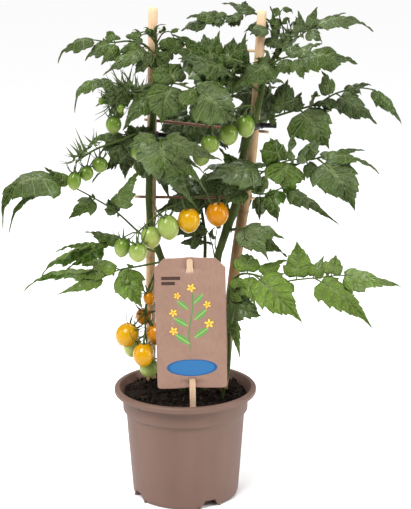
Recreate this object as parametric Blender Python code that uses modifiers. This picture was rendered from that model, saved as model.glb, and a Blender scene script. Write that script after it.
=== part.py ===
# Cherry tomato plant in a nursery pot, tied to a small bamboo ladder, with a stick-in card label.
# Axes: +X to the right of the front view, +Y away from the viewer, +Z up.
# The origin is on the pot's axis, where its base rests.
# Places are given in millimetres and turned into metres by vec().

import math

import bmesh
import bpy
from mathutils import Matrix, Vector

mm = 0.001
gap = 0.3                       # clearance between neighbouring pieces
object_name = "cherry_tomato_plant"

# Pot, radii and heights
pot_height = 111.0
lip_radius = 70.0
lip_inner_radius = 64.5
lip_skirt_height = 6.0
collar_radius = 62.0
collar_bottom = 88.0
body_top_radius = 58.8
foot_radius = 50.0
foot_rise = 4.0
pot_wall = 1.3
notch_bottom_width = 21.0
notch_top_width = 11.0
notch_height = 8.0
notch_depth = 14.0
notch_angles = (28.0, 118.0, 208.0, 298.0)
turned_steps = 40

# Soil
soil_top = 104.0
soil_crown = 1.5
root_end = 78.0

# Bamboo ladder
cane_end = 30.0
cane_left_path = [(-34, 31, cane_end), (-35, 32, 104), (-34.2, 17, 190), (-33.2, 4, 262), (-32, 0, 310),
                  (-31, 0, 365), (-29, 0, 480)]
cane_right_path = [(28.5, 0, cane_end), (36, 0, 104), (48, 0, 227), (59, 0, 307), (65.5, 0, 358),
                   (72.5, 0, 477)]
cane_left_radii = (4.7, 4.7, 4.7, 4.6, 4.6, 4.5, 4.4)
cane_right_radii = (5.6, 5.6, 5.5, 4.9, 4.7, 4.4)
rung_radius = 1.4
rungs = {
    "rung_top": ((-37, 0, 443), (78, 0, 439.5)),
    "rung_upper": ((-38, 0, 375), (80, 0, 363)),
    "rung_middle": ((-48, 0, 300.5), (67, 0, 299)),
}

# Plant clips: centre of the cane, centre of the stem, height of the band, end of the grip
clip_height = 5.0
clip_wall = 1.2
clip_grip_width = 5.0
clips = {
    "clip_left": ((-31.1, 0), (-31.0, -9.2), 361.0, (-15.0, -6.0)),
    "clip_right": ((66.4, 0), (62.6, -10.4), 369.8, (87.0, -3.0)),
}
clip_bore = 5.6

# Card label on its stick
card_width = 66.5
card_height = 130.0
card_thickness = 0.6
card_corner_cut = 9.5
card_bottom_round = 3.0
card_wave = 1.6
card_foot = (7.6, -51.5, 125.5)
slot_width = 7.4
slots = ((4.5, 10.5), (113.0, 119.0))
stick_width = 5.8
stick_thickness = 1.6
stick_end = -46.0
stick_top = 129.0
label_lean_left = 1.1
label_lean_forward = 3.4

# Stems: path and radius along it
stem_paths = {
    "stem_left": [(-2, -4, root_end), (-3, -4, 104), (-9, -8, 168), (-18, -10, 226), (-26, -10, 252),
                  (-32, -10, 272), (-34, -10, 303), (-32, -10, 348), (-29, -10, 386), (-27, -9, 414),
                  (-25, -10, 437), (-27, -10, 456)],
    "stem_right": [(16, -2, root_end), (17, -2, 104), (26, -10, 168), (31, -14, 238), (35, -14, 256),
                   (42, -13, 277), (49, -12, 297), (53, -12, 329), (58, -12, 353), (66, -11, 378),
                   (71, -10, 397), (74, -7, 412), (81, 0, 428), (96, 8, 452)],
}
stem_radii = {
    "stem_left": (2.6, 3.0, 3.0, 3.0, 3.0, 3.1, 3.2, 3.0, 2.8, 2.4, 1.8, 1.0),
    "stem_right": (2.8, 3.2, 3.3, 3.5, 3.8, 3.9, 4.0, 3.7, 3.5, 3.4, 2.8, 2.5, 2.1, 1.1),
}

# A shoot or leaf is a list of points along its stalk and a list of leaflets. A leaflet is:
# place along the stalk from 0 to 1, tip, width, lean of its upper face towards the viewer
# in degrees, height of its arch as a share of its length, and droop of its margins in degrees.
shoots = {
    "shoot_middle": {
        "radii": (2.0, 2.2, 2.0, 1.8, 1.7, 1.2, 1.0),
        "stalk": [(6, 2, 78), (7, 2, 104), (14, 6, 165), (19, 8, 232), (19, 12, 262), (15, 20, 290),
                  (12, 30, 311)],
        "leaflets": [
            (1.0, (-14, 40, 305), 26, 30, 0.10, 10),
            (0.97, (3, 26, 283), 25, 45, 0.10, 10),
            (0.88, (44, 24, 291), 26, 45, 0.08, 12),
            (0.96, (34, 32, 305), 26, 40, 0.10, 12),
            (0.76, (-5, 22, 249), 13, 40, 0.10, 12),
            (0.74, (22, 30, 247), 11, 35, 0.05, 12),
            (0.9, (38, 28, 320), 26, 60, 0.05, 6),
            (0.84, (-16, 18, 262), 19, 50, 0.05, 6),
        ],
    },
    "shoot_low_right": {
        "radii": (1.8, 1.8, 1.8, 1.7, 1.6, 1.4),
        "stalk": [(36, -16, 78), (36, -17, 104), (42, -20, 132), (43, -22, 160), (42, -24, 190),
                  (42, -26, 216)],
        "leaflets": [
            (0.93, (73, -48, 195), 26, 50, 0.08, 12),
            (0.98, (65, -40, 219), 18, 48, 0.08, 12),
            (0.86, (53, -46, 152), 12, 40, 0.05, 12),
            (0.82, (48, -42, 174), 10, 40, 0.05, 12),
        ],
    },
}

# Leaves: the stem each grows from and the height there, then stalk and leaflets as above
leaves = {
    "leaf_far_left": {
        "stem": ("stem_left", 262),
        "stalk": [(-47, -18, 273), (-65, -30, 293), (-89, -42, 311), (-112, -50, 325)],
        "leaflets": [
            (1.0, (-168, -66, 283), 24, 45, 0.50, 10),
            (0.93, (-129, -46, 338), 11, 40, 0.02, 4),
            (0.68, (-107, -48, 289), 17, 45, 0.10, 14),
            (0.5, (-41, -20, 332), 18, 25, 0.10, 16),
            (0.42, (-72, -26, 304), 12, 40, 0.00, 10),
        ],
    },
    "leaf_left_folded": {
        "stem": ("stem_left", 251),
        "stalk": [(-48, -6, 256), (-64, 0, 257), (-82, 4, 251)],
        "leaflets": [
            (1.0, (-140, 6, 221), 21, -35, 0.12, 16),
            (0.9, (-116, 4, 227), 16, -50, 0.06, 16),
            (0.6, (-98, 8, 264), 14, 30, 0.10, 16),
            (0.97, (-127, 14, 242), 12, 10, 0.10, 16),
        ],
    },
    "leaf_lower_left": {
        "stem": ("stem_left", 240),
        "stalk": [(-46, -18, 236), (-62, -26, 235), (-76, -32, 230)],
        "leaflets": [
            (0.62, (-40, -44, 202), 25, 62, 0.08, 6),
            (0.5, (-60, -40, 222), 16, 50, 0.08, 6),
            (0.72, (-98, -22, 239), 18, 30, 0.10, 12),
            (1.0, (-150, -38, 217), 19, -40, 0.14, 16),
            (0.95, (-121, -44, 215), 12, 60, 0.08, 16),
        ],
    },
    "leaf_top_left": {
        "stem": ("stem_left", 440),
        "stalk": [(-38, -8, 447), (-52, -10, 450), (-66, -12, 449), (-80, -14, 451)],
        "leaflets": [
            (1.0, (-117, -16, 429), 13, 25, 0.20, 16),
            (0.78, (-91, -26, 434), 13, 45, 0.12, 16),
            (0.7, (-76, -28, 430), 13, 55, 0.10, 16),
            (0.72, (-71, 4, 457), 11, 20, 0.20, 14),
            (0.48, (-44, 8, 455), 11, 20, 0.20, 14),
            (0.2, (-74, -34, 421), 19, 50, 0.14, 16),
            (0.34, (-62, -24, 438), 9, 45, 0.10, 16),
            (0.12, (-46, -28, 420), 14, 50, 0.05, 12),
        ],
    },
    "leaf_left_drooping": {
        "stem": ("stem_left", 394),
        "stalk": [(-44, -4, 403), (-59, -2, 407)],
        "leaflets": [
            (1.0, (-103, -10, 382), 18, 20, 0.34, 16),
            (0.9, (-82, -22, 391), 17, 50, 0.10, 14),
            (0.85, (-72, -10, 378), 15, 50, 0.10, 14),
            (0.6, (-52, 14, 390), 15, 30, 0.10, 14),
        ],
    },
    "leaf_left_arched": {
        "stem": ("stem_left", 353),
        "stalk": [(-42, -14, 360), (-54, -18, 363)],
        "leaflets": [
            (1.0, (-94, -30, 345), 11, 10, 0.25, 16),
            (0.9, (-68, -34, 338), 24, 50, 0.10, 12),
            (0.45, (-88, -12, 316), 16, -25, 0.05, 12),
            (0.6, (-60, -14, 328), 21, 40, 0.06, 12),
            (0.6, (-57, 0, 317), 21, 50, 0.06, 12),
        ],
    },
    "leaf_centre_front": {
        "stem": ("stem_left", 346),
        "stalk": [(-27, -30, 358), (-22, -50, 366)],
        "leaflets": [
            (1.0, (-18, -66, 326), 40, 70, 0.06, 8),
            (0.92, (-52, -60, 359), 21, 60, 0.10, 14),
            (0.9, (35, -62, 347), 21, 55, 0.12, 14),
            (0.8, (21, -54, 330), 10, 20, 0.12, 16),
            (0.5, (9, -26, 306), 30, 60, 0.08, 10),
            (0.95, (20, -62, 318), 14, 50, 0.08, 10),
        ],
    },
    "leaf_centre_upper": {
        "stem": ("stem_left", 402),
        "stalk": [(-20, -22, 410), (-8, -36, 414), (6, -46, 411), (15, -52, 410)],
        "leaflets": [
            (1.0, (49, -66, 383), 35, 60, 0.10, 8),
            (0.5, (-20, -60, 380), 32, 64, 0.08, 8),
            (0.3, (-56, -48, 372), 25, 50, 0.12, 12),
            (0.55, (-17, -26, 431), 30, 25, 0.10, 10),
            (0.85, (44, -40, 414), 23, 30, 0.12, 12),
            (0.8, (11, -62, 397), 18, 50, 0.05, 12),
        ],
    },
    "leaf_centre_top": {
        "stem": ("stem_right", 404),
        "stalk": [(58, -18, 413), (40, -24, 423), (22, -30, 432)],
        "leaflets": [
            (1.0, (-3, -38, 434), 30, 40, 0.10, 12),
            (0.88, (-2, -16, 455), 23, 30, 0.10, 12),
            (0.72, (59, -20, 452), 16, 35, 0.16, 12),
            (0.8, (35, -50, 420), 21, 50, 0.10, 12),
            (0.95, (-16, -24, 449), 14, 40, 0.10, 12),
            (0.6, (46, -6, 453), 25, 30, 0.10, 12),
            (0.5, (51, -46, 434), 16, 50, 0.10, 12),
            (0.9, (18, -18, 457), 25, 30, 0.10, 12),
            (0.45, (34, -34, 412), 21, 50, 0.10, 12),
            (0.85, (10, -10, 412), 25, 50, 0.10, 12),
        ],
    },
    "leaf_top_arching": {
        "stem": ("stem_right", 444),
        "stalk": [(83, 14, 463), (67, 16, 473), (48, 14, 472), (22, 10, 468)],
        "leaflets": [
            (1.0, (-3, 6, 458), 12, 40, 0.04, 14),
            (0.9, (33, 2, 461), 8, 40, 0.10, 12),
            (0.6, (35, 4, 464), 9, 40, 0.10, 12),
            (0.45, (35, 24, 482), 11, 30, 0.10, 12),
            (0.3, (56, 12, 456), 11, 50, 0.10, 16),
            (0.78, (20, 22, 473), 11, 25, 0.10, 12),
            (0.05, (80, 4, 481), 9, 20, 0.10, 12),
        ],
    },
    "leaf_top_right": {
        "stem": ("stem_right", 434),
        "stalk": [(92, -4, 441), (104, -8, 452), (119, -14, 464)],
        "leaflets": [
            (1.0, (174, -22, 459), 19, 20, 0.14, 14),
            (0.85, (127, -24, 450), 11, 50, 0.10, 12),
            (0.62, (99, -18, 461), 11, 50, 0.10, 12),
            (0.9, (124, -2, 481), 9, 30, 0.10, 12),
            (0.96, (150, -4, 475), 11, 20, 0.10, 12),
            (0.5, (78, -20, 446), 13, 40, 0.10, 12),
            (0.7, (106, 6, 477), 8, 20, 0.10, 12),
        ],
    },
    "leaf_upper_right": {
        "stem": ("stem_right", 414),
        "stalk": [(82, -18, 430), (97, -30, 438), (110, -36, 438)],
        "leaflets": [
            (1.0, (158, -46, 433), 25, 38, 0.16, 14),
            (0.95, (134, -54, 427), 18, 55, 0.08, 10),
            (0.9, (109, -52, 420), 12, 60, 0.00, 10),
            (0.45, (44, -38, 408), 21, 55, 0.10, 12),
            (0.4, (74, -36, 415), 16, 60, 0.05, 10),
            (0.62, (97, -36, 422), 14, 50, 0.08, 10),
            (0.85, (127, -26, 449), 14, 20, 0.10, 12),
        ],
    },
    "leaf_far_right": {
        "stem": ("stem_right", 377),
        "stalk": [(99, -4, 383), (126, 2, 390), (143, 6, 399), (165, 8, 404), (181, 8, 402)],
        "leaflets": [
            (1.0, (206, 4, 370), 11, 40, 0.16, 16),
            (0.97, (193, 0, 382), 8, 30, 0.10, 12),
            (0.68, (181, -12, 373), 22, 52, 0.10, 14),
            (0.62, (129, 4, 421), 13, 40, 0.10, 12),
            (0.74, (178, 20, 405), 11, 20, 0.12, 16),
            (0.36, (135, -30, 352), 35, 62, 0.08, 8),
            (0.24, (97, -10, 415), 21, 35, 0.10, 12),
            (0.1, (84, -8, 379), 11, 40, 0.10, 12),
            (0.46, (124, -14, 404), 13, 35, 0.10, 12),
            (0.56, (129, -12, 389), 12, 45, 0.10, 12),
        ],
    },
    "leaf_right_middle": {
        "stem": ("stem_right", 306),
        "stalk": [(66, -22, 322), (78, -30, 333), (98, -38, 343), (124, -46, 346)],
        "leaflets": [
            (1.0, (157, -62, 300), 35, 66, 0.16, 8),
            (0.99, (181, -40, 330), 12, 30, 0.20, 16),
            (0.97, (168, -32, 351), 14, 20, 0.08, 12),
            (0.66, (91, -58, 321), 32, 62, 0.08, 8),
            (0.6, (80, -26, 362), 25, 25, 0.08, 10),
            (0.7, (102, -52, 368), 19, 30, 0.08, 10),
            (0.4, (20, -54, 327), 29, 55, 0.10, 10),
            (0.8, (120, -60, 365), 19, 30, 0.08, 10),
            (0.86, (136, -34, 309), 12, 50, 0.06, 12),
        ],
    },
    "leaf_right_hanging": {
        "stem": ("stem_right", 322),
        "stalk": [(45, -2, 320), (48, 11, 313), (60, 17, 304), (75, 20, 299), (95, 26, 304)],
        "leaflets": [
            (1.0, (150, 22, 268), 13, 50, 0.08, 16),
            (0.94, (86, 24, 288), 19, -55, 0.05, 10),
            (0.97, (117, 30, 314), 18, -40, 0.08, 10),
            (0.8, (90, 8, 273), 15, 35, 0.08, 12),
            (0.7, (72, 8, 276), 13, 35, 0.08, 12),
            (0.42, (57, 6, 280), 14, 40, 0.08, 12),
        ],
    },
    "leaf_right_small": {
        "stem": ("stem_right", 274),
        "stalk": [(49, -24, 275), (53, -27, 276)],
        "leaflets": [
            (1.0, (94, -37, 268), 20, 45, 0.12, 14),
            (0.85, (79, -46, 249), 19, 52, 0.12, 12),
            (0.7, (98, -20, 246), 18, 45, 0.10, 12),
        ],
    },
    "leaf_lower_right": {
        "stem": ("shoot_low_right", 206),
        "stalk": [(44, -17, 219), (54, -27, 231), (69, -36, 232), (84, -40, 226), (106, -44, 230),
                  (125, -48, 233), (144, -50, 236)],
        "leaflets": [
            (1.0, (203, -56, 226), 20, 40, 0.05, 14),
            (0.38, (110, -68, 195), 33, 66, 0.08, 8),
            (0.34, (67, -54, 207), 13, 60, 0.05, 10),
            (0.83, (172, -66, 188), 23, 56, 0.14, 10),
            (0.7, (106, -32, 265), 22, 35, 0.05, 10),
            (0.82, (132, -32, 250), 12, 35, 0.05, 10),
            (0.95, (143, -36, 252), 17, 35, 0.05, 10),
            (0.33, (60, -26, 251), 21, 40, 0.08, 12),
            (0.43, (98, -24, 244), 14, 35, 0.10, 12),
        ],
    },
    "leaf_centre_rear": {
        "stem": ("stem_left", 345),
        "stalk": [(-20, -4, 349), (-13, 10, 356), (4, 30, 373)],
        "leaflets": [
            (1.0, (50, 36, 364), 28, 35, 0.12, 10),
            (0.99, (44, 30, 398), 23, 30, 0.10, 10),
            (0.9, (40, 34, 340), 23, 50, 0.10, 10),
            (0.88, (-24, 14, 362), 21, 50, 0.08, 10),
            (0.95, (10, 22, 352), 25, 50, 0.08, 10),
            (0.75, (-8, 50, 384), 19, 15, 0.10, 10),
            (0.98, (20, 22, 384), 19, 40, 0.08, 10),
        ],
    },
    "leaf_back_left": {
        "stem": ("stem_left", 326),
        "stalk": [(-42, 2, 336), (-40, 28, 346), (-32, 55, 345)],
        "leaflets": [
            (1.0, (-22, 108, 322), 30, -20, 0.12, 12),
            (0.9, (8, 72, 334), 21, -10, 0.10, 12),
            (0.88, (-62, 70, 336), 21, -10, 0.10, 12),
            (0.62, (-2, 44, 350), 18, 0, 0.10, 12),
            (0.92, (-34, 62, 300), 32, 55, 0.08, 8),
            (0.8, (-8, 66, 306), 26, 50, 0.08, 8),
        ],
    },
    "leaf_back_right": {
        "stem": ("stem_right", 286),
        "stalk": [(40, 8, 302), (44, 34, 318), (52, 60, 322)],
        "leaflets": [
            (1.0, (62, 112, 298), 30, -20, 0.12, 12),
            (0.9, (92, 72, 312), 21, -10, 0.10, 12),
            (0.88, (18, 78, 310), 21, -10, 0.10, 12),
            (0.62, (74, 38, 324), 16, 0, 0.10, 12),
            (0.8, (34, 64, 284), 32, 55, 0.08, 8),
            (0.6, (64, 44, 282), 26, 50, 0.08, 8),
        ],
    },
    "leaf_back_high": {
        "stem": ("stem_right", 392),
        "stalk": [(81, 4, 400), (80, 28, 408), (70, 52, 408)],
        "leaflets": [
            (1.0, (56, 98, 388), 26, -20, 0.12, 12),
            (0.9, (98, 66, 400), 18, -10, 0.10, 12),
            (0.88, (34, 56, 402), 21, -10, 0.10, 12),
            (0.35, (44, 18, 362), 28, 50, 0.05, 8),
            (0.5, (52, 26, 338), 25, 50, 0.05, 8),
        ],
    },
}

# Fruit: centre, half width, half height, direction from the centre to the stalk
fruits = {
    "fruit_a1": ((-58, -43, 261), 7.5, 9.4, (0.2, 0.1, 1)),
    "fruit_a2": ((-43, -51, 258.5), 8.8, 9.4, (0.0, 0.2, 1)),
    "fruit_a3": ((-31.5, -38, 270), 9.6, 10.7, (-0.2, 0.2, 1)),
    "fruit_a4": ((-15, -41, 280), 10.0, 12.1, (-0.2, 0.2, 1)),
    "fruit_a5": ((4.5, -38, 286), 10.5, 11.9, (0.0, 0.2, 1)),
    "fruit_a6": ((31, -33, 291), 10.7, 11.8, (-0.1, 0.2, 1)),
    "fruit_b1": ((-100, -61, 328), 6.4, 8.7, (0.1, 0.1, 1)),
    "fruit_b2": ((-89.5, -53, 333.5), 6.5, 6.9, (0.1, 0.2, 1)),
    "fruit_b3": ((-77.5, -48, 340.5), 7.3, 7.3, (0.0, 0.2, 1)),
    "fruit_b4": ((-42, -36, 350), 7.2, 7.2, (-0.1, 0.2, 1)),
    "fruit_c1": ((-65, -36, 376), 7.3, 8.2, (0.1, 0.1, 1)),
    "fruit_e1": ((24.5, -47, 360.5), 8.7, 9.0, (-0.1, 0.2, 1)),
    "fruit_e2": ((41, -46, 368.5), 8.9, 9.8, (-0.1, 0.2, 1)),
    "fruit_e3": ((56.5, -37, 375), 8.9, 10.6, (-0.1, 0.2, 1)),
    "fruit_f1": ((-55, -35, 173), 11.0, 11.9, (0.6, 0.15, 0.8)),
    "fruit_f2": ((-39, -47, 157), 10.1, 11.3, (0.05, 0.3, 1)),
    "fruit_f3": ((-26.5, -33, 173), 9.8, 11.0, (-0.5, 0.2, 0.85)),
    "fruit_f4": ((-40, -13, 185), 7.9, 8.6, (0.2, -0.5, 0.84)),
    "fruit_f8": ((-35, -24, 136.5), 9.2, 9.7, (0.0, 0.0, 1)),
}

# Trusses: stem and height, stalk points, and the fruits with each one's place along the stalk
trusses = {
    "truss_a": {
        "stem": ("stem_right", 300),
        "stalk": [(40, -24, 307), (22, -29, 308), (4, -32, 304), (-14, -34, 297.5), (-30, -37, 286.5),
                  (-45, -42, 274)],
        "fruits": {"fruit_a6": 0.22, "fruit_a5": 0.50, "fruit_a4": 0.66, "fruit_a3": 0.83, "fruit_a2": 0.97,
                   "fruit_a1": 0.99},
    },
    "truss_b": {
        "stem": ("stem_left", 342),
        "stalk": [(-42, -24, 364), (-60, -38, 361), (-78, -46, 356), (-90, -51, 350), (-99, -56, 344)],
        "fruits": {"fruit_b4": 0.28, "fruit_b3": 0.66, "fruit_b2": 0.82, "fruit_b1": 0.99},
    },
    "truss_c": {
        "stem": ("stem_left", 384),
        "stalk": [(-38, -22, 396), (-48, -30, 408), (-58, -34, 406), (-66, -35, 394)],
        "fruits": {"fruit_c1": 0.99},
    },
    "truss_e": {
        "stem": ("stem_right", 380),
        "stalk": [(64, -26, 391), (52, -34, 392), (38, -40, 386), (25, -42, 378)],
        "fruits": {"fruit_e3": 0.30, "fruit_e2": 0.72, "fruit_e1": 0.99},
    },
    "truss_f": {
        "stem": ("stem_left", 236),
        "stalk": [(-29, -19, 228), (-35, -23, 212), (-37, -25, 195), (-38, -28, 180), (-36, -26, 154)],
        "fruits": {"fruit_f4": 0.38, "fruit_f1": 0.55, "fruit_f3": 0.55, "fruit_f2": 0.78, "fruit_f8": 0.99},
    },
}
truss_radius = 1.1
pedicel_radius = 0.8
sepal_share = 0.62              # sepal length over the fruit's half width
sepal_thickness = 0.8
leaf_thickness = 0.9
stalk_radius = 1.4
stalk_tip_radius = 0.8

# Plain colours, roughness
finishes = {
    "pot": ((0.30, 0.205, 0.165), 0.55),
    "soil": ((0.025, 0.017, 0.012), 0.95),
    "cane": ((0.62, 0.42, 0.22), 0.6),
    "rung": ((0.45, 0.22, 0.12), 0.6),
    "clip": ((0.01, 0.01, 0.01), 0.4),
    "card": ((0.55, 0.36, 0.27), 0.85),
    "stick": ((0.72, 0.52, 0.32), 0.7),
    "stem": ((0.10, 0.17, 0.05), 0.6),
    "leaf": ((0.06, 0.14, 0.03), 0.6),
    "calyx": ((0.07, 0.13, 0.03), 0.6),
    "fruit_green": ((0.30, 0.42, 0.09), 0.25),
    "fruit_yellow": ((0.75, 0.45, 0.01), 0.25),
    "fruit_orange": ((0.75, 0.24, 0.01), 0.25),
}
fruit_finish = {
    "fruit_a5": "fruit_yellow",
    "fruit_a6": "fruit_orange",
    "fruit_f1": "fruit_yellow",
    "fruit_f2": "fruit_yellow",
    "fruit_f3": "fruit_orange",
    "fruit_f4": "fruit_orange",
}


def vec(point):
    return Vector(point) * mm


def clear_scene():
    for item in list(bpy.data.objects):
        bpy.data.objects.remove(item, do_unlink=True)


def make_collection(name):
    collection = bpy.data.collections.new(name)
    bpy.context.scene.collection.children.link(collection)
    return collection


def make_materials():
    made = {}
    for name, (colour, roughness) in finishes.items():
        material = bpy.data.materials.new(name)
        material.use_nodes = True
        shader = material.node_tree.nodes["Principled BSDF"]
        shader.inputs["Base Color"].default_value = (*colour, 1.0)
        shader.inputs["Roughness"].default_value = roughness
        material.diffuse_color = (*colour, 1.0)
        made[name] = material
    return made


def add_object(name, data, finish, collection):
    made = bpy.data.objects.new(name, data)
    if finish:
        data.materials.clear()
        data.materials.append(materials[finish])
    collection.objects.link(made)
    return made


def add_cutter(name, data):
    cutter = add_object(name, data, None, cutters)
    cutter.hide_render = True
    cutter.display_type = "WIRE"
    return cutter


def smooth(points, steps):
    """Points on a smooth curve through the given ones."""
    knots = [Vector(p) for p in points]
    knots = [knots[0] * 2 - knots[1], *knots, knots[-1] * 2 - knots[-2]]
    curve = []
    for a, b, c, d in zip(knots, knots[1:], knots[2:], knots[3:]):
        for step in range(steps):
            t = step / steps
            curve.append(0.5 * (2 * b + (c - a) * t + (2 * a - 5 * b + 4 * c - d) * t ** 2
                                + (3 * b - a - 3 * c + d) * t ** 3))
    curve.append(knots[-2])
    return curve


def spread(values, steps):
    """Values between the given ones, in step with smooth()."""
    result = []
    for a, b in zip(values, values[1:]):
        for step in range(steps):
            result.append(a + (b - a) * step / steps)
    result.append(values[-1])
    return result


def along(points, share):
    """The point at a share of a polyline's length."""
    lengths = [(b - a).length for a, b in zip(points, points[1:])]
    left = share * sum(lengths)
    for a, b, length in zip(points, points[1:], lengths):
        if left <= length:
            return a.lerp(b, left / length)
        left -= length
    return points[-1].copy()


def at_height(points, height):
    """Where a rising polyline passes a height, its index there and its direction."""
    for index, (a, b) in enumerate(zip(points, points[1:])):
        if a.z <= height <= b.z:
            return a.lerp(b, (height - a.z) / (b.z - a.z)), index, (b - a).normalized()
    raise ValueError("height is off the stem")


def tube_mesh(name, points, radii, resolution=2):
    """A closed tube through points in millimetres."""
    curve = bpy.data.curves.new(name, "CURVE")
    curve.dimensions = "3D"
    curve.bevel_depth = mm
    curve.bevel_resolution = resolution
    curve.use_fill_caps = True
    spline = curve.splines.new("POLY")
    spline.points.add(len(points) - 1)
    for knot, point, radius in zip(spline.points, points, radii):
        knot.co = (*vec(point), 1.0)
        knot.radius = radius
    holder = bpy.data.objects.new(name, curve)
    cutters.objects.link(holder)
    mesh = bpy.data.meshes.new_from_object(holder.evaluated_get(bpy.context.evaluated_depsgraph_get()))
    bpy.data.objects.remove(holder)
    bpy.data.curves.remove(curve)
    shape = bmesh.new()
    shape.from_mesh(mesh)
    bmesh.ops.remove_doubles(shape, verts=shape.verts, dist=1e-6)
    bmesh.ops.recalc_face_normals(shape, faces=shape.faces)
    shape.to_mesh(mesh)
    shape.free()
    return mesh


def applied(item):
    """The mesh of an object with its modifiers and place applied; the object is removed."""
    bpy.context.view_layer.update()
    mesh = bpy.data.meshes.new_from_object(item.evaluated_get(bpy.context.evaluated_depsgraph_get()))
    mesh.transform(item.matrix_world)
    bpy.data.objects.remove(item)
    return mesh


def sheet_mesh(name, points, faces, thickness):
    """A thin closed plate over an open sheet of points in millimetres."""
    mesh = bpy.data.meshes.new(name)
    mesh.from_pydata([vec(p) for p in points], [], faces)
    holder = bpy.data.objects.new(name, mesh)
    cutters.objects.link(holder)
    solidify = holder.modifiers.new("thickness", "SOLIDIFY")
    solidify.thickness = thickness * mm
    solidify.offset = 0.0
    return applied(holder)


def boolean(item, cutter, operation):
    modifier = item.modifiers.new(cutter.name, "BOOLEAN")
    modifier.object = cutter
    modifier.operation = operation
    modifier.solver = "EXACT"


def united(name, meshes, finish):
    """One body from overlapping closed meshes, the first one being the stalk."""
    body = add_object(name, meshes[0], finish, parts)
    joined = []
    for index, mesh in enumerate(meshes[1:]):
        piece = add_cutter(f"{name}_piece_{index}", mesh)
        boolean(body, piece, "UNION")
        joined.append(piece)
    mesh = applied(body)
    for piece in joined:
        bpy.data.objects.remove(piece)
    mesh.name = name
    made = add_object(name, mesh, finish, parts)
    mesh.shade_smooth()
    mesh.set_sharp_from_angle(angle=math.radians(40))
    return made


def turned(name, profile, steps, finish, collection):
    """A closed profile of (radius, height), outer side first from the top, turned about Z."""
    mesh = bpy.data.meshes.new(name)
    points = [vec((radius, 0, height)) for radius, height in profile]
    closed = profile[0][0] > 0 or profile[-1][0] > 0
    edges = [(i, i + 1) for i in range(len(points) - 1)]
    if closed:
        edges.append((len(points) - 1, 0))
    mesh.from_pydata(points, edges, [])
    made = add_object(name, mesh, finish, collection)
    screw = made.modifiers.new("turn", "SCREW")
    screw.steps = steps
    screw.render_steps = steps
    screw.use_merge_vertices = True
    screw.merge_threshold = 0.00001
    screw.use_smooth_shade = True
    return made


def attach(stem, height, towards, radius):
    """The first two points of a stalk that starts just clear of a stem's side."""
    points, radii = stem_lines[stem]
    centre, index, direction = at_height(points, height)
    away = Vector(towards) - centre
    away -= away.dot(direction) * direction
    away.normalize()
    side = max(radii[index], radii[index + 1]) + gap
    return [centre + away * side, centre + away * (side + 2.0 * radius)]


def leaflet_mesh(name, base, tip, width, lean, arch, droop):
    """A thin kite folded along its midrib; its face leans towards the viewer."""
    base = Vector(base)
    length = (Vector(tip) - base).length
    ahead = (Vector(tip) - base) / length
    facing = Vector((0.0, -math.sin(math.radians(lean)), math.cos(math.radians(lean))))
    up = (facing - facing.dot(ahead) * ahead).normalized()
    across = ahead.cross(up)
    fall = math.tan(math.radians(droop))
    rows = ((0.0, 0.0), (0.38, 1.0), (0.72, 0.62), (1.0, 0.0))
    points = []
    for share, spread_out in rows:
        middle = base + ahead * length * share + up * length * arch * 4 * share * (1 - share)
        half = width / 2 * spread_out
        points.append(middle)
        if half:
            points.append(middle + across * half - up * half * fall)
            points.append(middle - across * half - up * half * fall)
    faces = [(0, 2, 1), (0, 1, 3), (1, 2, 5, 4), (1, 4, 6, 3), (4, 5, 7), (4, 7, 6)]
    return sheet_mesh(name, points, faces, leaf_thickness)


def make_leafy(name, points, radii, leaflets, finish):
    """A stalk with its leaflets as one body."""
    meshes = [tube_mesh(name, points, radii, 1)]
    for index, (share, tip, width, lean, arch, droop) in enumerate(leaflets):
        base = along(points, min(share, 0.985))
        meshes.append(leaflet_mesh(f"{name}_{index}", base, tip, width, lean, arch, droop))
    return united(name, meshes, finish)


def make_shoot(name, shoot):
    points = smooth(shoot["stalk"], 2)
    radii = spread(shoot["radii"], 2)
    stem_lines[name] = (points, radii)
    make_leafy(name, points, radii, shoot["leaflets"], "stem")


def make_leaf(name, leaf):
    stem, height = leaf["stem"]
    start = attach(stem, height, leaf["stalk"][0], stalk_radius)
    points = [start[0], *smooth([start[1], *leaf["stalk"]], 2 if len(leaf["stalk"]) < 4 else 1)]
    radii = spread([stalk_radius, stalk_tip_radius], len(points) - 1)
    make_leafy(name, points, radii, leaf["leaflets"], "leaf")


def fruit_axis(name):
    centre, _, half_height, direction = fruits[name]
    axis = Vector(direction).normalized()
    return Vector(centre), half_height, axis


def star_mesh(name, fruit):
    """The calyx: five pointed sepals over the fruit's top, curling up at their tips."""
    centre, half_height, axis = fruit_axis(fruit)
    lift = gap + sepal_thickness / 2 + 0.1
    length = fruits[fruit][1] * sepal_share
    middle = centre + axis * (half_height + lift)
    turn = axis.to_track_quat("Z", "Y").to_matrix()
    points = [middle]
    faces = []
    for index in range(5):
        for offset, radius, height in ((0, length, 1.2), (36, 1.8, 0.2)):
            angle = math.radians(72 * index + offset)
            local = Vector((radius * math.cos(angle), radius * math.sin(angle), height))
            points.append(middle + turn @ local)
    for index in range(10):
        faces.append((0, 1 + index, 1 + (index + 1) % 10))
    return sheet_mesh(name, points, faces, sepal_thickness), middle


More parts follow.
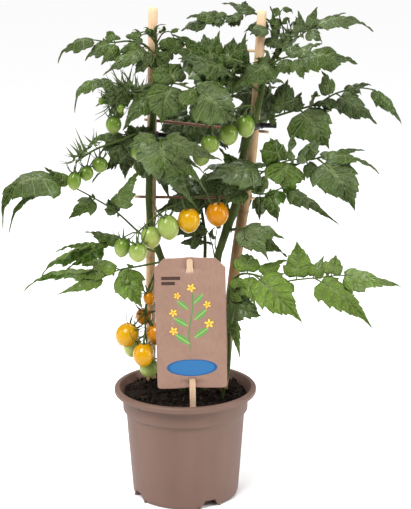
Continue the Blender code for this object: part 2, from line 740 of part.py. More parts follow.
def make_truss(name, truss):
    """The fruit stalk with a pedicel and calyx for each fruit, as one body."""
    stem, height = truss["stem"]
    start = attach(stem, height, truss["stalk"][0], truss_radius)
    points = [start[0], *smooth([start[1], *truss["stalk"]], 2 if len(truss["stalk"]) < 5 else 1)]
    meshes = [tube_mesh(name, points, [truss_radius] * len(points), 1)]
    for fruit, share in truss["fruits"].items():
        star, middle = star_mesh(f"{name}_calyx", fruit)
        base = along(points, share)
        axis = fruit_axis(fruit)[2]
        bend = base.lerp(middle, 0.5) + axis * 1.5
        end = middle - axis * 0.1
        meshes.append(tube_mesh(f"{name}_pedicel", [base, bend, end], [pedicel_radius] * 3, 0))
        meshes.append(star)
    united(name, meshes, "calyx")


def make_fruit(name):
    """A round fruit, a little longer than wide and drawn to a blunt point below."""
    centre, half_height, axis = fruit_axis(name)
    half_width = fruits[name][1]
    profile = []
    rings = 7
    for ring in range(rings + 1):
        angle = math.pi * ring / rings
        radius = half_width * math.sin(angle)
        height = half_height * math.cos(angle)
        if height < 0:
            radius *= 1 - 0.10 * (height / half_height) ** 2
        profile.append((radius if 0 < ring < rings else 0.0, height))
    made = turned(name, profile, 11, fruit_finish.get(name, "fruit_green"), parts)
    made.location = centre * mm
    made.rotation_euler = axis.to_track_quat("Z", "Y").to_euler()


def wedge_mesh(name, bottom, top, low, high, inner, outer):
    """A block with sloping flanks, lying along X, for the drainage notches."""
    shape = bmesh.new()
    corners = []
    for reach in (inner, outer):
        for half, height in ((-bottom / 2, low), (bottom / 2, low), (top / 2, high), (-top / 2, high)):
            corners.append(shape.verts.new(vec((reach, half, height))))
    for face in ((3, 2, 1, 0), (4, 5, 6, 7), (0, 1, 5, 4), (1, 2, 6, 5), (2, 3, 7, 6), (3, 0, 4, 7)):
        shape.faces.new([corners[i] for i in face])
    bmesh.ops.recalc_face_normals(shape, faces=shape.faces)
    mesh = bpy.data.meshes.new(name)
    shape.to_mesh(mesh)
    shape.free()
    return mesh


def place_notch(item, angle):
    item.rotation_euler = (0, 0, math.radians(angle - 90))


def wall_inner(height):
    """The inner radius of the pot's wall below the collar."""
    share = (height - foot_rise) / (collar_bottom - 2 - foot_rise)
    return foot_radius + 2.6 + (body_top_radius - foot_radius - 2.6) * share - pot_wall


def make_pot():
    under_collar = collar_bottom - 2
    lip_top = pot_height
    profile = [
        (lip_inner_radius + 1.0, lip_top),
        (lip_radius - 1.2, lip_top - 0.3),
        (lip_radius, lip_top - 1.6),
        (lip_radius, lip_top - lip_skirt_height + 0.6),
        (lip_radius - 0.6, lip_top - lip_skirt_height),
        (lip_radius - pot_wall, lip_top - lip_skirt_height),
        (lip_radius - pot_wall, lip_top - 2.0),
        (lip_inner_radius + 1.8, lip_top - 2.0),
        (collar_radius + 0.6, lip_top - lip_skirt_height - 1.5),
        (collar_radius, lip_top - lip_skirt_height - 3.0),
        (collar_radius - 0.3, collar_bottom),
        (body_top_radius, under_collar),
        (foot_radius + 2.6, foot_rise),
        (foot_radius + 1.6, 1.2),
        (foot_radius, 0.0),
        (0.0, 0.0),
        (0.0, 1.8),
        (foot_radius - 0.6, 1.8),
        (wall_inner(foot_rise), foot_rise),
        (body_top_radius - pot_wall, under_collar - 1.4),
        (collar_radius - 0.3 - pot_wall, collar_bottom),
        (collar_radius - pot_wall, lip_top - lip_skirt_height - 3.0),
        (lip_inner_radius, lip_top - 1.0),
    ]
    pot = turned("pot", profile, turned_steps, "pot", parts)
    for index, angle in enumerate(notch_angles):
        pocket = add_cutter(f"pocket_{index}", wedge_mesh(
            "pocket", notch_bottom_width + 4, notch_top_width + 4, 0.0, notch_height + pot_wall,
            foot_radius - notch_depth, foot_radius + 1.2))
        place_notch(pocket, angle)
        boolean(pot, pocket, "UNION")
    for index, angle in enumerate(notch_angles):
        notch = add_cutter(f"notch_{index}", wedge_mesh(
            "notch", notch_bottom_width, notch_top_width, -1.0, notch_height,
            foot_radius - notch_depth + pot_wall, foot_radius + 6))
        place_notch(notch, angle)
        boolean(pot, notch, "DIFFERENCE")
        drain = add_cutter(f"drain_{index}", wedge_mesh(
            "drain", 5.0, 5.0, notch_height - 1, notch_height + pot_wall + 1,
            foot_radius - notch_depth + 5.5, foot_radius - notch_depth + 9.5))
        place_notch(drain, angle)
        boolean(pot, drain, "DIFFERENCE")


def make_soil():
    top_radius = collar_radius - pot_wall - gap
    profile = [
        (0.0, soil_top + soil_crown),
        (30.0, soil_top + soil_crown * 0.7),
        (52.0, soil_top),
        (top_radius - 1.0, soil_top - 0.8),
        (top_radius, soil_top - 2.4),
        (top_radius - 0.4, collar_bottom + 1.0),
        (body_top_radius - pot_wall - gap - 0.1, collar_bottom - 2.4),
        (wall_inner(16.0) - gap, 16.0),
        (wall_inner(12.0) - gap - 1.0, 12.0),
        (0.0, 12.0),
    ]
    soil = turned("soil", profile, turned_steps, "soil", parts)
    for name, (points, radii) in stem_lines.items():
        last = next(i for i, p in enumerate(points) if p.z > soil_top + 4)
        path = [points[0] - Vector((0, 0, gap)), *points[1:last + 1]]
        widths = [r + gap + 0.1 for r in radii[:last + 1]]
        boolean(soil, add_cutter(f"socket_{name}", tube_mesh("socket", path, widths, 3)), "DIFFERENCE")
    stick = stick_cutter()
    boolean(soil, stick, "DIFFERENCE")


def cane_line(path, radii):
    return smooth(path, 2), spread(radii, 2)


def make_canes():
    """Two upright canes drilled for the rungs."""
    for name, path, radii in (("cane_left", cane_left_path, cane_left_radii),
                              ("cane_right", cane_right_path, cane_right_radii)):
        points, widths = cane_line(path, radii)
        cane = add_object(name, tube_mesh(name, points, widths, 3), "cane", parts)
        stem_lines[name] = (points, widths)
        for rung, (start, end) in rungs.items():
            beyond = (Vector(end) - Vector(start)).normalized() * 4
            line = [Vector(start) - beyond, Vector(end) + beyond]
            drill = tube_mesh("drill", line, [rung_radius + gap] * 2, 3)
            boolean(cane, add_cutter(f"drill_{name}_{rung}", drill), "DIFFERENCE")


def make_rungs():
    for name, (start, end) in rungs.items():
        mesh = tube_mesh(name, [start, end], [rung_radius] * 2, 2)
        add_object(name, mesh, "rung", parts)


def stadium(curve, first, second, radius, steps=8):
    """A closed outline of constant distance round two centres."""
    first = Vector(first)
    second = Vector(second)
    heading = math.atan2(second.y - first.y, second.x - first.x)
    points = []
    for centre, start in ((first, heading + math.pi / 2), (second, heading - math.pi / 2)):
        for step in range(steps + 1):
            angle = start + math.pi * step / steps
            points.append(centre + radius * Vector((math.cos(angle), math.sin(angle))))
    spline = curve.splines.new("POLY")
    spline.points.add(len(points) - 1)
    for knot, point in zip(spline.points, points):
        knot.co = (point.x * mm, point.y * mm, 0.0, 1.0)
    spline.use_cyclic_u = True


def flat_curve(name, half_thickness):
    curve = bpy.data.curves.new(name, "CURVE")
    curve.dimensions = "2D"
    curve.fill_mode = "BOTH"
    curve.extrude = half_thickness * mm
    return curve


def flat_mesh(curve):
    """The closed plate that a filled 2D curve makes."""
    holder = bpy.data.objects.new(curve.name, curve)
    cutters.objects.link(holder)
    mesh = applied(holder)
    shape = bmesh.new()
    shape.from_mesh(mesh)
    bmesh.ops.remove_doubles(shape, verts=shape.verts, dist=1e-6)
    bmesh.ops.recalc_face_normals(shape, faces=shape.faces)
    shape.to_mesh(mesh)
    shape.free()
    return mesh


def make_clips():
    """A band round cane and stem, with a ribbed grip to the side."""
    for name, (cane, stem, height, grip) in clips.items():
        curve = flat_curve(name, clip_height / 2)
        stadium(curve, cane, stem, clip_bore + clip_wall)
        stadium(curve, cane, stem, clip_bore)
        band = flat_mesh(curve)
        band.transform(Matrix.Translation(vec((0, 0, height))))
        near = Vector((*cane, height))
        far = Vector((*grip, height))
        out = (far - near).normalized()
        start = near + out * (clip_bore + clip_wall * 0.4)
        handle = tube_mesh(name, [start, far], [clip_grip_width / 2] * 2, 3)
        united(name, [band, handle], "clip")


def label_matrix():
    lean = Matrix.Rotation(math.radians(label_lean_forward), 4, "X")
    side = Matrix.Rotation(math.radians(-label_lean_left), 4, "Y")
    return Matrix.Translation(vec(card_foot)) @ lean @ side


def card_offset(height):
    """The card passes behind the stick at its ends and in front of it between the slots."""
    def ease(value, low, high):
        t = min(max((value - low) / (high - low), 0.0), 1.0)
        return t * t * (3 - 2 * t)
    front = ease(height, *slots[0]) - ease(height, *slots[1])
    return card_wave - 2 * card_wave * front


def card_outline():
    half = card_width / 2
    points = [(-half, card_height - card_corner_cut), (-half + card_corner_cut, card_height),
              (half - card_corner_cut, card_height), (half, card_height - card_corner_cut)]
    for side in (1, -1):
        for step in range(4):
            angle = math.radians(30 * step if side > 0 else 90 - 30 * step)
            points.append((side * (half - card_bottom_round + card_bottom_round * math.cos(angle)),
                           card_bottom_round - card_bottom_round * math.sin(angle)))
    return points


def make_card():
    """A waved card with cut corners, trimmed to its outline, with two slots for the stick."""
    across = card_width / 2 + 2
    heights = [-2.0]
    for low, high in slots:
        heights += [low + (high - low) * step / 4 for step in range(5)]
    heights.append(card_height + 2.0)
    rows = len(heights) - 1
    points = []
    for height in heights:
        for side in (-across, across):
            points.append((side, card_offset(height), height))
    faces = [(2 * row, 2 * row + 1, 2 * row + 3, 2 * row + 2) for row in range(rows)]
    sheet = sheet_mesh("label_card", points, faces, card_thickness)
    card = add_object("label_card", sheet, "card", parts)
    curve = flat_curve("card_outline", 8)
    outlines = [card_outline()]
    for low, high in slots:
        half = slot_width / 2
        outlines.append([(-half, low), (half, low), (half, high), (-half, high)])
    for outline in outlines:
        spline = curve.splines.new("POLY")
        spline.points.add(len(outline) - 1)
        for knot, (x, y) in zip(spline.points, outline):
            knot.co = (x * mm, y * mm, 0.0, 1.0)
        spline.use_cyclic_u = True
    trim = flat_mesh(curve)
    trim.transform(Matrix.Rotation(math.radians(90), 4, "X"))
    boolean(card, add_cutter("card_trim", trim), "INTERSECT")
    card.matrix_world = label_matrix()
    cutters.objects["card_trim"].matrix_world = label_matrix()


def stick_mesh(name, extra):
    """A flat stick with a rounded top."""
    curve = flat_curve(name, stick_thickness / 2 + extra)
    half = stick_width / 2 + extra
    outline = [(-half, stick_end - extra), (half, stick_end - extra)]
    for step in range(9):
        angle = math.pi * step / 8
        outline.append((half * math.cos(angle), stick_top - half + half * math.sin(angle)))
    spline = curve.splines.new("POLY")
    spline.points.add(len(outline) - 1)
    for knot, (x, y) in zip(spline.points, outline):
        knot.co = (x * mm, y * mm, 0.0, 1.0)
    spline.use_cyclic_u = True
    mesh = flat_mesh(curve)
    mesh.transform(Matrix.Rotation(math.radians(90), 4, "X"))
    return mesh


def stick_cutter():
    cutter = add_cutter("stick_socket", stick_mesh("stick_socket", gap))
    cutter.matrix_world = label_matrix()
    return cutter


def make_stick():
    stick = add_object("label_stick", stick_mesh("label_stick", 0.0), "stick", parts)
    stick.matrix_world = label_matrix()


def make_stems():
    for name, path in stem_paths.items():
        points = smooth(path, 2)
        radii = spread(stem_radii[name], 2)
        stem_lines[name] = (points, radii)
        add_object(name, tube_mesh(name, points, radii, 2), "stem", parts)


clear_scene()
parts = make_collection(object_name)
cutters = make_collection("cutters")
materials = make_materials()
stem_lines = {}

make_stems()
for shoot_name, shoot_data in shoots.items():
    make_shoot(shoot_name, shoot_data)
make_canes()
make_soil()
make_pot()
make_rungs()
make_clips()
make_card()
make_stick()
for leaf_name, leaf_data in leaves.items():
    make_leaf(leaf_name, leaf_data)
for fruit_name in fruits:
    make_fruit(fruit_name)
for truss_name, truss_data in trusses.items():
    make_truss(truss_name, truss_data)
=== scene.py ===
import math

import bmesh
import bpy
import numpy as np
from mathutils import Matrix, Vector


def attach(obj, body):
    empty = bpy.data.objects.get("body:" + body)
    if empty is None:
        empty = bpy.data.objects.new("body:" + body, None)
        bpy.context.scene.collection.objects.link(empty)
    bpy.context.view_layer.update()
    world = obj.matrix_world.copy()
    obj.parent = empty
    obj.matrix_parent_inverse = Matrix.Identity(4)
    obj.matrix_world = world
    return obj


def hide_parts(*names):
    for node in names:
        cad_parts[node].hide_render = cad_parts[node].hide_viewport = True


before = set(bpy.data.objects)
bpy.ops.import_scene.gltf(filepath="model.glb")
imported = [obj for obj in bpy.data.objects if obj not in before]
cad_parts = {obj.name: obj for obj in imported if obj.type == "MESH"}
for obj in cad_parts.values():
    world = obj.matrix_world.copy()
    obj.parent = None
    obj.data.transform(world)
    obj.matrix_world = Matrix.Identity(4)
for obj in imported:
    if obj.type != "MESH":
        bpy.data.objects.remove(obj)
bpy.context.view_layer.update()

mm = 0.001
print("frame loaded:", len(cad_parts), "nodes")


def feed(tree, node, sockets):
    # each named or numbered socket takes a link or a plain value
    for key, value in sockets.items():
        target = node.inputs[key]
        value = value.socket if isinstance(value, Wire) else value
        if isinstance(value, bpy.types.NodeSocket):
            tree.links.new(value, target)
        else:
            target.default_value = (*value, 1.0) if target.type == "RGBA" and len(value) == 3 else value


def addNode(tree, kind, settings=None, sockets=None):
    made = tree.nodes.new(kind)
    for key, value in (settings or {}).items():
        setattr(made, key, value)
    feed(tree, made, sockets or {})
    return made


class Wire:
    # one socket, so that shader maths can be written as sums
    def __init__(self, paint, socket):
        self.paint = paint
        self.socket = socket

    def __add__(self, other): return self.paint.maths("ADD", self, other)
    def __radd__(self, other): return self.paint.maths("ADD", self, other)
    def __sub__(self, other): return self.paint.maths("SUBTRACT", self, other)
    def __rsub__(self, other): return self.paint.maths("SUBTRACT", other, self)
    def __mul__(self, other): return self.paint.maths("MULTIPLY", self, other)
    def __truediv__(self, other): return self.paint.maths("DIVIDE", self, other)
    def __pow__(self, other): return self.paint.maths("POWER", self, other)
    def __abs__(self): return self.paint.maths("ABSOLUTE", self)
    def most(self, other): return self.paint.maths("MAXIMUM", self, other)

    def between(self, low, high):
        # 0 at low and 1 at high, smooth between them; low may be the larger
        return self.paint.node("ShaderNodeMapRange", {"interpolation_type": "SMOOTHSTEP"},
                               {"Value": self, "From Min": low, "From Max": high})


class Paint:
    # one material; its shader's own sockets take the values that are the same all over
    def __init__(self, name, **fixed):
        self.material = bpy.data.materials.new(name)
        self.material.use_nodes = True
        self.tree = self.material.node_tree
        self.tree.nodes.clear()
        self.shader = self.tree.nodes.new("ShaderNodeBsdfPrincipled")
        addNode(self.tree, "ShaderNodeOutputMaterial", sockets={"Surface": self.shader.outputs[0]})
        self.finish(**fixed)

    def finish(self, **values):
        feed(self.tree, self.shader, {key.replace("_", " "): value for key, value in values.items()})
        return self.material

    def node(self, kind, settings=None, sockets=None, output=0):
        return Wire(self, addNode(self.tree, kind, settings, sockets).outputs[output])

    def maths(self, operation, *values):
        return self.node("ShaderNodeMath", {"operation": operation}, dict(enumerate(values)))

    def split(self, kind, source):
        return [Wire(self, socket) for socket in addNode(self.tree, kind, {}, {0: source}).outputs]

    def place(self):
        return self.node("ShaderNodeTexCoord", output="Object")

    def uv(self):
        return self.split("ShaderNodeSeparateXYZ", self.node("ShaderNodeUVMap", {"uv_map": "laid"}))[:2]

    def tones(self):
        # the colour attribute that each leaf, stalk and fruit carries
        source = self.node("ShaderNodeAttribute", {"attribute_name": "tone"})
        return self.split("ShaderNodeSeparateColor", source)

    def noise(self, vector, scale, detail=4.0, rough=0.55):
        return self.node("ShaderNodeTexNoise", {}, {"Vector": vector, "Scale": scale, "Detail": detail,
                                                    "Roughness": rough})

    def cells(self, vector, scale, feature="F1", dimensions="3D"):
        return self.node("ShaderNodeTexVoronoi", {"feature": feature, "voronoi_dimensions": dimensions},
                         {"Vector": vector, "Scale": scale})

    def stretch(self, vector, tall, turn=(0, 0, 0)):
        return self.node("ShaderNodeMapping", {}, {"Vector": vector, "Scale": (1, 1, tall), "Rotation": turn})

    def blend(self, mask, first, second):
        return self.node("ShaderNodeMix", {"data_type": "RGBA"}, {0: mask, 6: first, 7: second}, output=2)

    def ramp(self, value, stops):
        made = addNode(self.tree, "ShaderNodeValToRGB", {}, {0: value})
        elements = made.color_ramp.elements
        elements.remove(elements[0])
        elements[0].position = stops[0][0]
        for place, _ in stops[1:]:
            elements.new(place)
        for element, (_, colour) in zip(elements, stops):
            element.color = (*colour, 1.0)
        return Wire(self, made.outputs[0])

    def bump(self, height, distance, strength):
        return self.node("ShaderNodeBump", {}, {"Height": height, "Distance": distance, "Strength": strength})


def mottled(name, scale, dark, light, **fixed):
    paint = Paint(name, **fixed)
    grain = paint.noise(paint.place(), scale)
    return paint.finish(Base_Color=paint.ramp(grain, ((0.3, dark), (0.7, light))))


class Heap:
    # gathers quads given in millimetres, each corner with a UV and each point with a tone
    def __init__(self):
        self.points, self.faces, self.slots, self.uvs, self.tones = [], [], [], [], []
        self.count = 0

    def grid(self, grid, slot=0, tone=(0.5, 0, 0), u=(0, 1), around=False, flip=False, uv=None):
        # a sheet of rows and columns; around joins the last column to the first
        grid, tone = np.asarray(grid, float), np.asarray(tone, float)
        rows, cols = grid.shape[:2]
        spans = cols if around else cols - 1
        r, c = (index.ravel() for index in np.meshgrid(np.arange(rows - 1), np.arange(spans), indexing="ij"))
        after = (c + 1) % cols
        faces = np.stack([r * cols + c, r * cols + after, (r + 1) * cols + after, (r + 1) * cols + c], 1)
        if uv is None:
            u = np.interp(np.linspace(0, 1, rows), np.linspace(0, 1, len(u)), u)
            v = np.linspace(0, 1, spans + 1)
            corners = np.stack([u[r], v[c], u[r], v[c + 1], u[r + 1], v[c + 1], u[r + 1], v[c]], 1)
            corners = corners.reshape(-1, 4, 2)
        else:
            corners = uv.reshape(-1, 2)[faces]
        if flip:
            faces, corners = faces[:, ::-1], corners[:, ::-1]
        self.points.append(grid.reshape(-1, 3) * mm)
        self.faces.append(faces + self.count)
        self.uvs.append(corners)
        self.slots.append(np.full(len(faces), slot))
        self.tones.append(np.broadcast_to(tone, (rows * cols, 3)))
        self.count += rows * cols

    def plate(self, grid, thickness, slots, tone, uv):
        # a thin closed blade: upper face, lower face and rim
        rows, cols = grid.shape[:2]
        normal = np.cross(np.gradient(grid, axis=0), np.gradient(grid, axis=1))
        length = np.linalg.norm(normal, axis=2, keepdims=True)
        normal = normal / np.maximum(length, 1e-9)
        normal[length[..., 0] < 1e-7] = unit(normal.sum((0, 1)))
        upper = grid + normal * thickness / 2
        lower = grid - normal * thickness / 2
        self.grid(upper, slots[0], tone, uv=uv, flip=True)
        self.grid(lower, slots[1], tone, uv=uv)
        ring = [(0, c) for c in range(cols - 1)] + [(r, cols - 1) for r in range(rows - 1)]
        ring += [(rows - 1, c) for c in range(cols - 1, 0, -1)] + [(r, 0) for r in range(rows - 1, 0, -1)]
        pick = tuple(np.array(ring).T)
        if np.ndim(tone) > 1:
            tone = np.tile(tone.reshape(rows, cols, 3)[pick], (2, 1))
        self.grid([upper[pick], lower[pick]], slots[1], tone, uv=np.stack([uv[pick], uv[pick]]), around=True)

    def tube(self, path, radii, slot, tone, sides=8, squash=1.0):
        # a closed round stalk
        path = np.asarray(path, float)
        radii = np.broadcast_to(np.asarray(radii, float), (len(path),))
        ahead = headings(path)
        side = np.cross(ahead[0], (0, 0, 1.0) if abs(ahead[0][2]) < 0.9 else (1.0, 0, 0))
        x, y = circle(sides)
        rings = []
        for point, direction, radius in zip(path, ahead, radii):
            side = unit(side - direction * side.dot(direction))
            up = np.cross(direction, side)
            rings.append(point + radius * (x * side + squash * y * up))
        rings = [np.tile(path[0], (sides, 1)), *rings, np.tile(path[-1], (sides, 1))]
        steps = walked(path)
        self.grid(rings, slot, tone, u=[0, *steps, steps[-1]], around=True)

    def build(self, name, materials):
        mesh = bpy.data.meshes.new(name)
        mesh.from_pydata(np.concatenate(self.points).tolist(), [], np.concatenate(self.faces).tolist())
        mesh.uv_layers.new(name="laid").data.foreach_set("uv", np.concatenate(self.uvs).ravel())
        tone = mesh.attributes.new("tone", "FLOAT_COLOR", "POINT")
        tones = np.concatenate(self.tones)
        tone.data.foreach_set("color", np.concatenate([tones, np.ones((len(tones), 1))], 1).ravel())
        mesh.polygons.foreach_set("material_index", np.concatenate(self.slots))
        for material in materials:
            mesh.materials.append(material)

        def weld(shape):
            bmesh.ops.remove_doubles(shape, verts=shape.verts, dist=2e-6)
            bmesh.ops.dissolve_degenerate(shape, edges=shape.edges, dist=1e-7)
        reshape(mesh, weld)
        mesh.shade_smooth()
        return addPiece(name, mesh)


def reshape(mesh, change):
    shape = bmesh.new()
    shape.from_mesh(mesh)
    change(shape)
    shape.to_mesh(mesh)
    shape.free()


def addPiece(name, data):
    piece = bpy.data.objects.new(name, data)
    bpy.context.scene.collection.objects.link(piece)
    return piece


def settle(piece, slot, *nodes):
    # a finished piece goes with the plant and stands for its solids
    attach(piece, "root")
    if nodes:
        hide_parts(*nodes)


def applied(piece):
    # the piece as one plain mesh, its modifiers applied
    bpy.context.view_layer.update()
    graph = bpy.context.evaluated_depsgraph_get()
    mesh = bpy.data.meshes.new_from_object(piece.evaluated_get(graph), depsgraph=graph)
    name = piece.name
    bpy.data.objects.remove(piece)
    mesh.name = name
    return addPiece(name, mesh)


def unit(vector):
    vector = np.asarray(vector, float)
    return vector / np.linalg.norm(vector)


def circle(sides):
    # the corners of a polygon, as two columns
    angles = (np.arange(sides) / sides * 2 * math.pi)[:, None]
    return np.cos(angles), np.sin(angles)


def headings(path):
    ahead = np.gradient(path, axis=0)
    return ahead / np.linalg.norm(ahead, axis=1, keepdims=True)


def walked(path):
    return np.concatenate([[0], np.cumsum(np.linalg.norm(np.diff(path, axis=0), axis=1))])


def along(points, share):
    # the spot at this share of the way
    places = walked(points)
    return np.array([np.interp(share * places[-1], places, points[:, i]) for i in range(3)])


def smoothPath(points, steps):
    # a smooth curve through the given points
    knots = [np.array(p, float) for p in points]
    knots = [knots[0] * 2 - knots[1], *knots, knots[-1] * 2 - knots[-2]]
    curve = []
    for a, b, c, d in zip(knots, knots[1:], knots[2:], knots[3:]):
        for step in range(steps):
            t = step / steps
            curve.append(0.5 * (2 * b + (c - a) * t + (2 * a - 5 * b + 4 * c - d) * t ** 2
                                + (3 * b - a - 3 * c + d) * t ** 3))
    return np.array([*curve, knots[-2]])


def spread(values, steps):
    return np.interp(np.arange((len(values) - 1) * steps + 1) / steps, range(len(values)), values)


studio = {
    "eye": (0.0199, -1.4, 0.59),
    "pitchDown": 13.9,
    "lens": 105.4,
    "sensor": 36.0,
    "aim": (0, 0, 0.26),
    "floorColour": (0.97, 0.97, 0.97),
    "floorShade": 0.985,
    "ambient": 0.22,
    "sunStrength": 3.2,
    "sunAngle": 28.0,
    "sunTurn": (36.0, 0.0, -34.0),
    "softboxes": (("softboxLeft", (-0.75, -1.15, 1.35), (0.26, 0.36), 6.0),
                  ("softboxRight", (0.85, -1.0, 1.3), (0.26, 0.36), 5.0),
                  ("overhead", (-0.1, 0.75, 1.5), (1.6, 0.8), 20.0),
                  ("sideLeft", (-1.3, -0.25, 0.6), (0.5, 1.0), 5.0),
                  ("sideRight", (1.3, -0.35, 0.6), (0.5, 1.0), 12.0)),
}


def setStudio():
    camera = addPiece("camera", bpy.data.cameras.new("camera"))
    camera.location = studio["eye"]
    camera.rotation_euler = (math.radians(90 - studio["pitchDown"]), 0, 0)
    camera.data.lens = studio["lens"]
    camera.data.sensor_width = studio["sensor"]
    camera.data.clip_end = 50
    bpy.context.scene.camera = camera
    for name, place, size, power in studio["softboxes"]:
        lamp = addPiece(name, bpy.data.lights.new(name, "AREA"))
        lamp.data.shape = "RECTANGLE"
        lamp.data.size, lamp.data.size_y = size
        lamp.data.energy = power
        lamp.location = place
        lamp.rotation_euler = (Vector(studio["aim"]) - Vector(place)).to_track_quat("-Z", "Y").to_euler()
    sun = addPiece("sun", bpy.data.lights.new("sun", "SUN"))
    sun.data.energy = studio["sunStrength"]
    sun.data.angle = math.radians(studio["sunAngle"])
    sun.rotation_euler = [math.radians(a) for a in studio["sunTurn"]]
    world = bpy.data.worlds.new("studio")
    bpy.context.scene.world = world
    world.use_nodes = True
    sky = world.node_tree.nodes["Background"]
    sky.inputs[0].default_value = (1, 1, 1, 1)
    sky.inputs[1].default_value = studio["ambient"]
    bpy.context.scene.view_settings.view_transform = "Standard"
    bpy.context.scene.view_settings.look = "None"


def makeFloor():
    paint = Paint("floorPaper", Roughness=0.9)
    grain = paint.noise(paint.place(), 60.0)
    colour = studio["floorColour"]
    shaded = tuple(c * studio["floorShade"] for c in colour)
    mesh = bpy.data.meshes.new("floor")
    mesh.materials.append(paint.finish(Base_Color=paint.blend(grain.between(0.3, 0.7), shaded, colour)))
    reshape(mesh, lambda shape: bmesh.ops.create_grid(shape, x_segments=8, y_segments=8, size=40.0))
    floor = addPiece("floor", mesh)


setStudio()
makeFloor()
print("studio set")

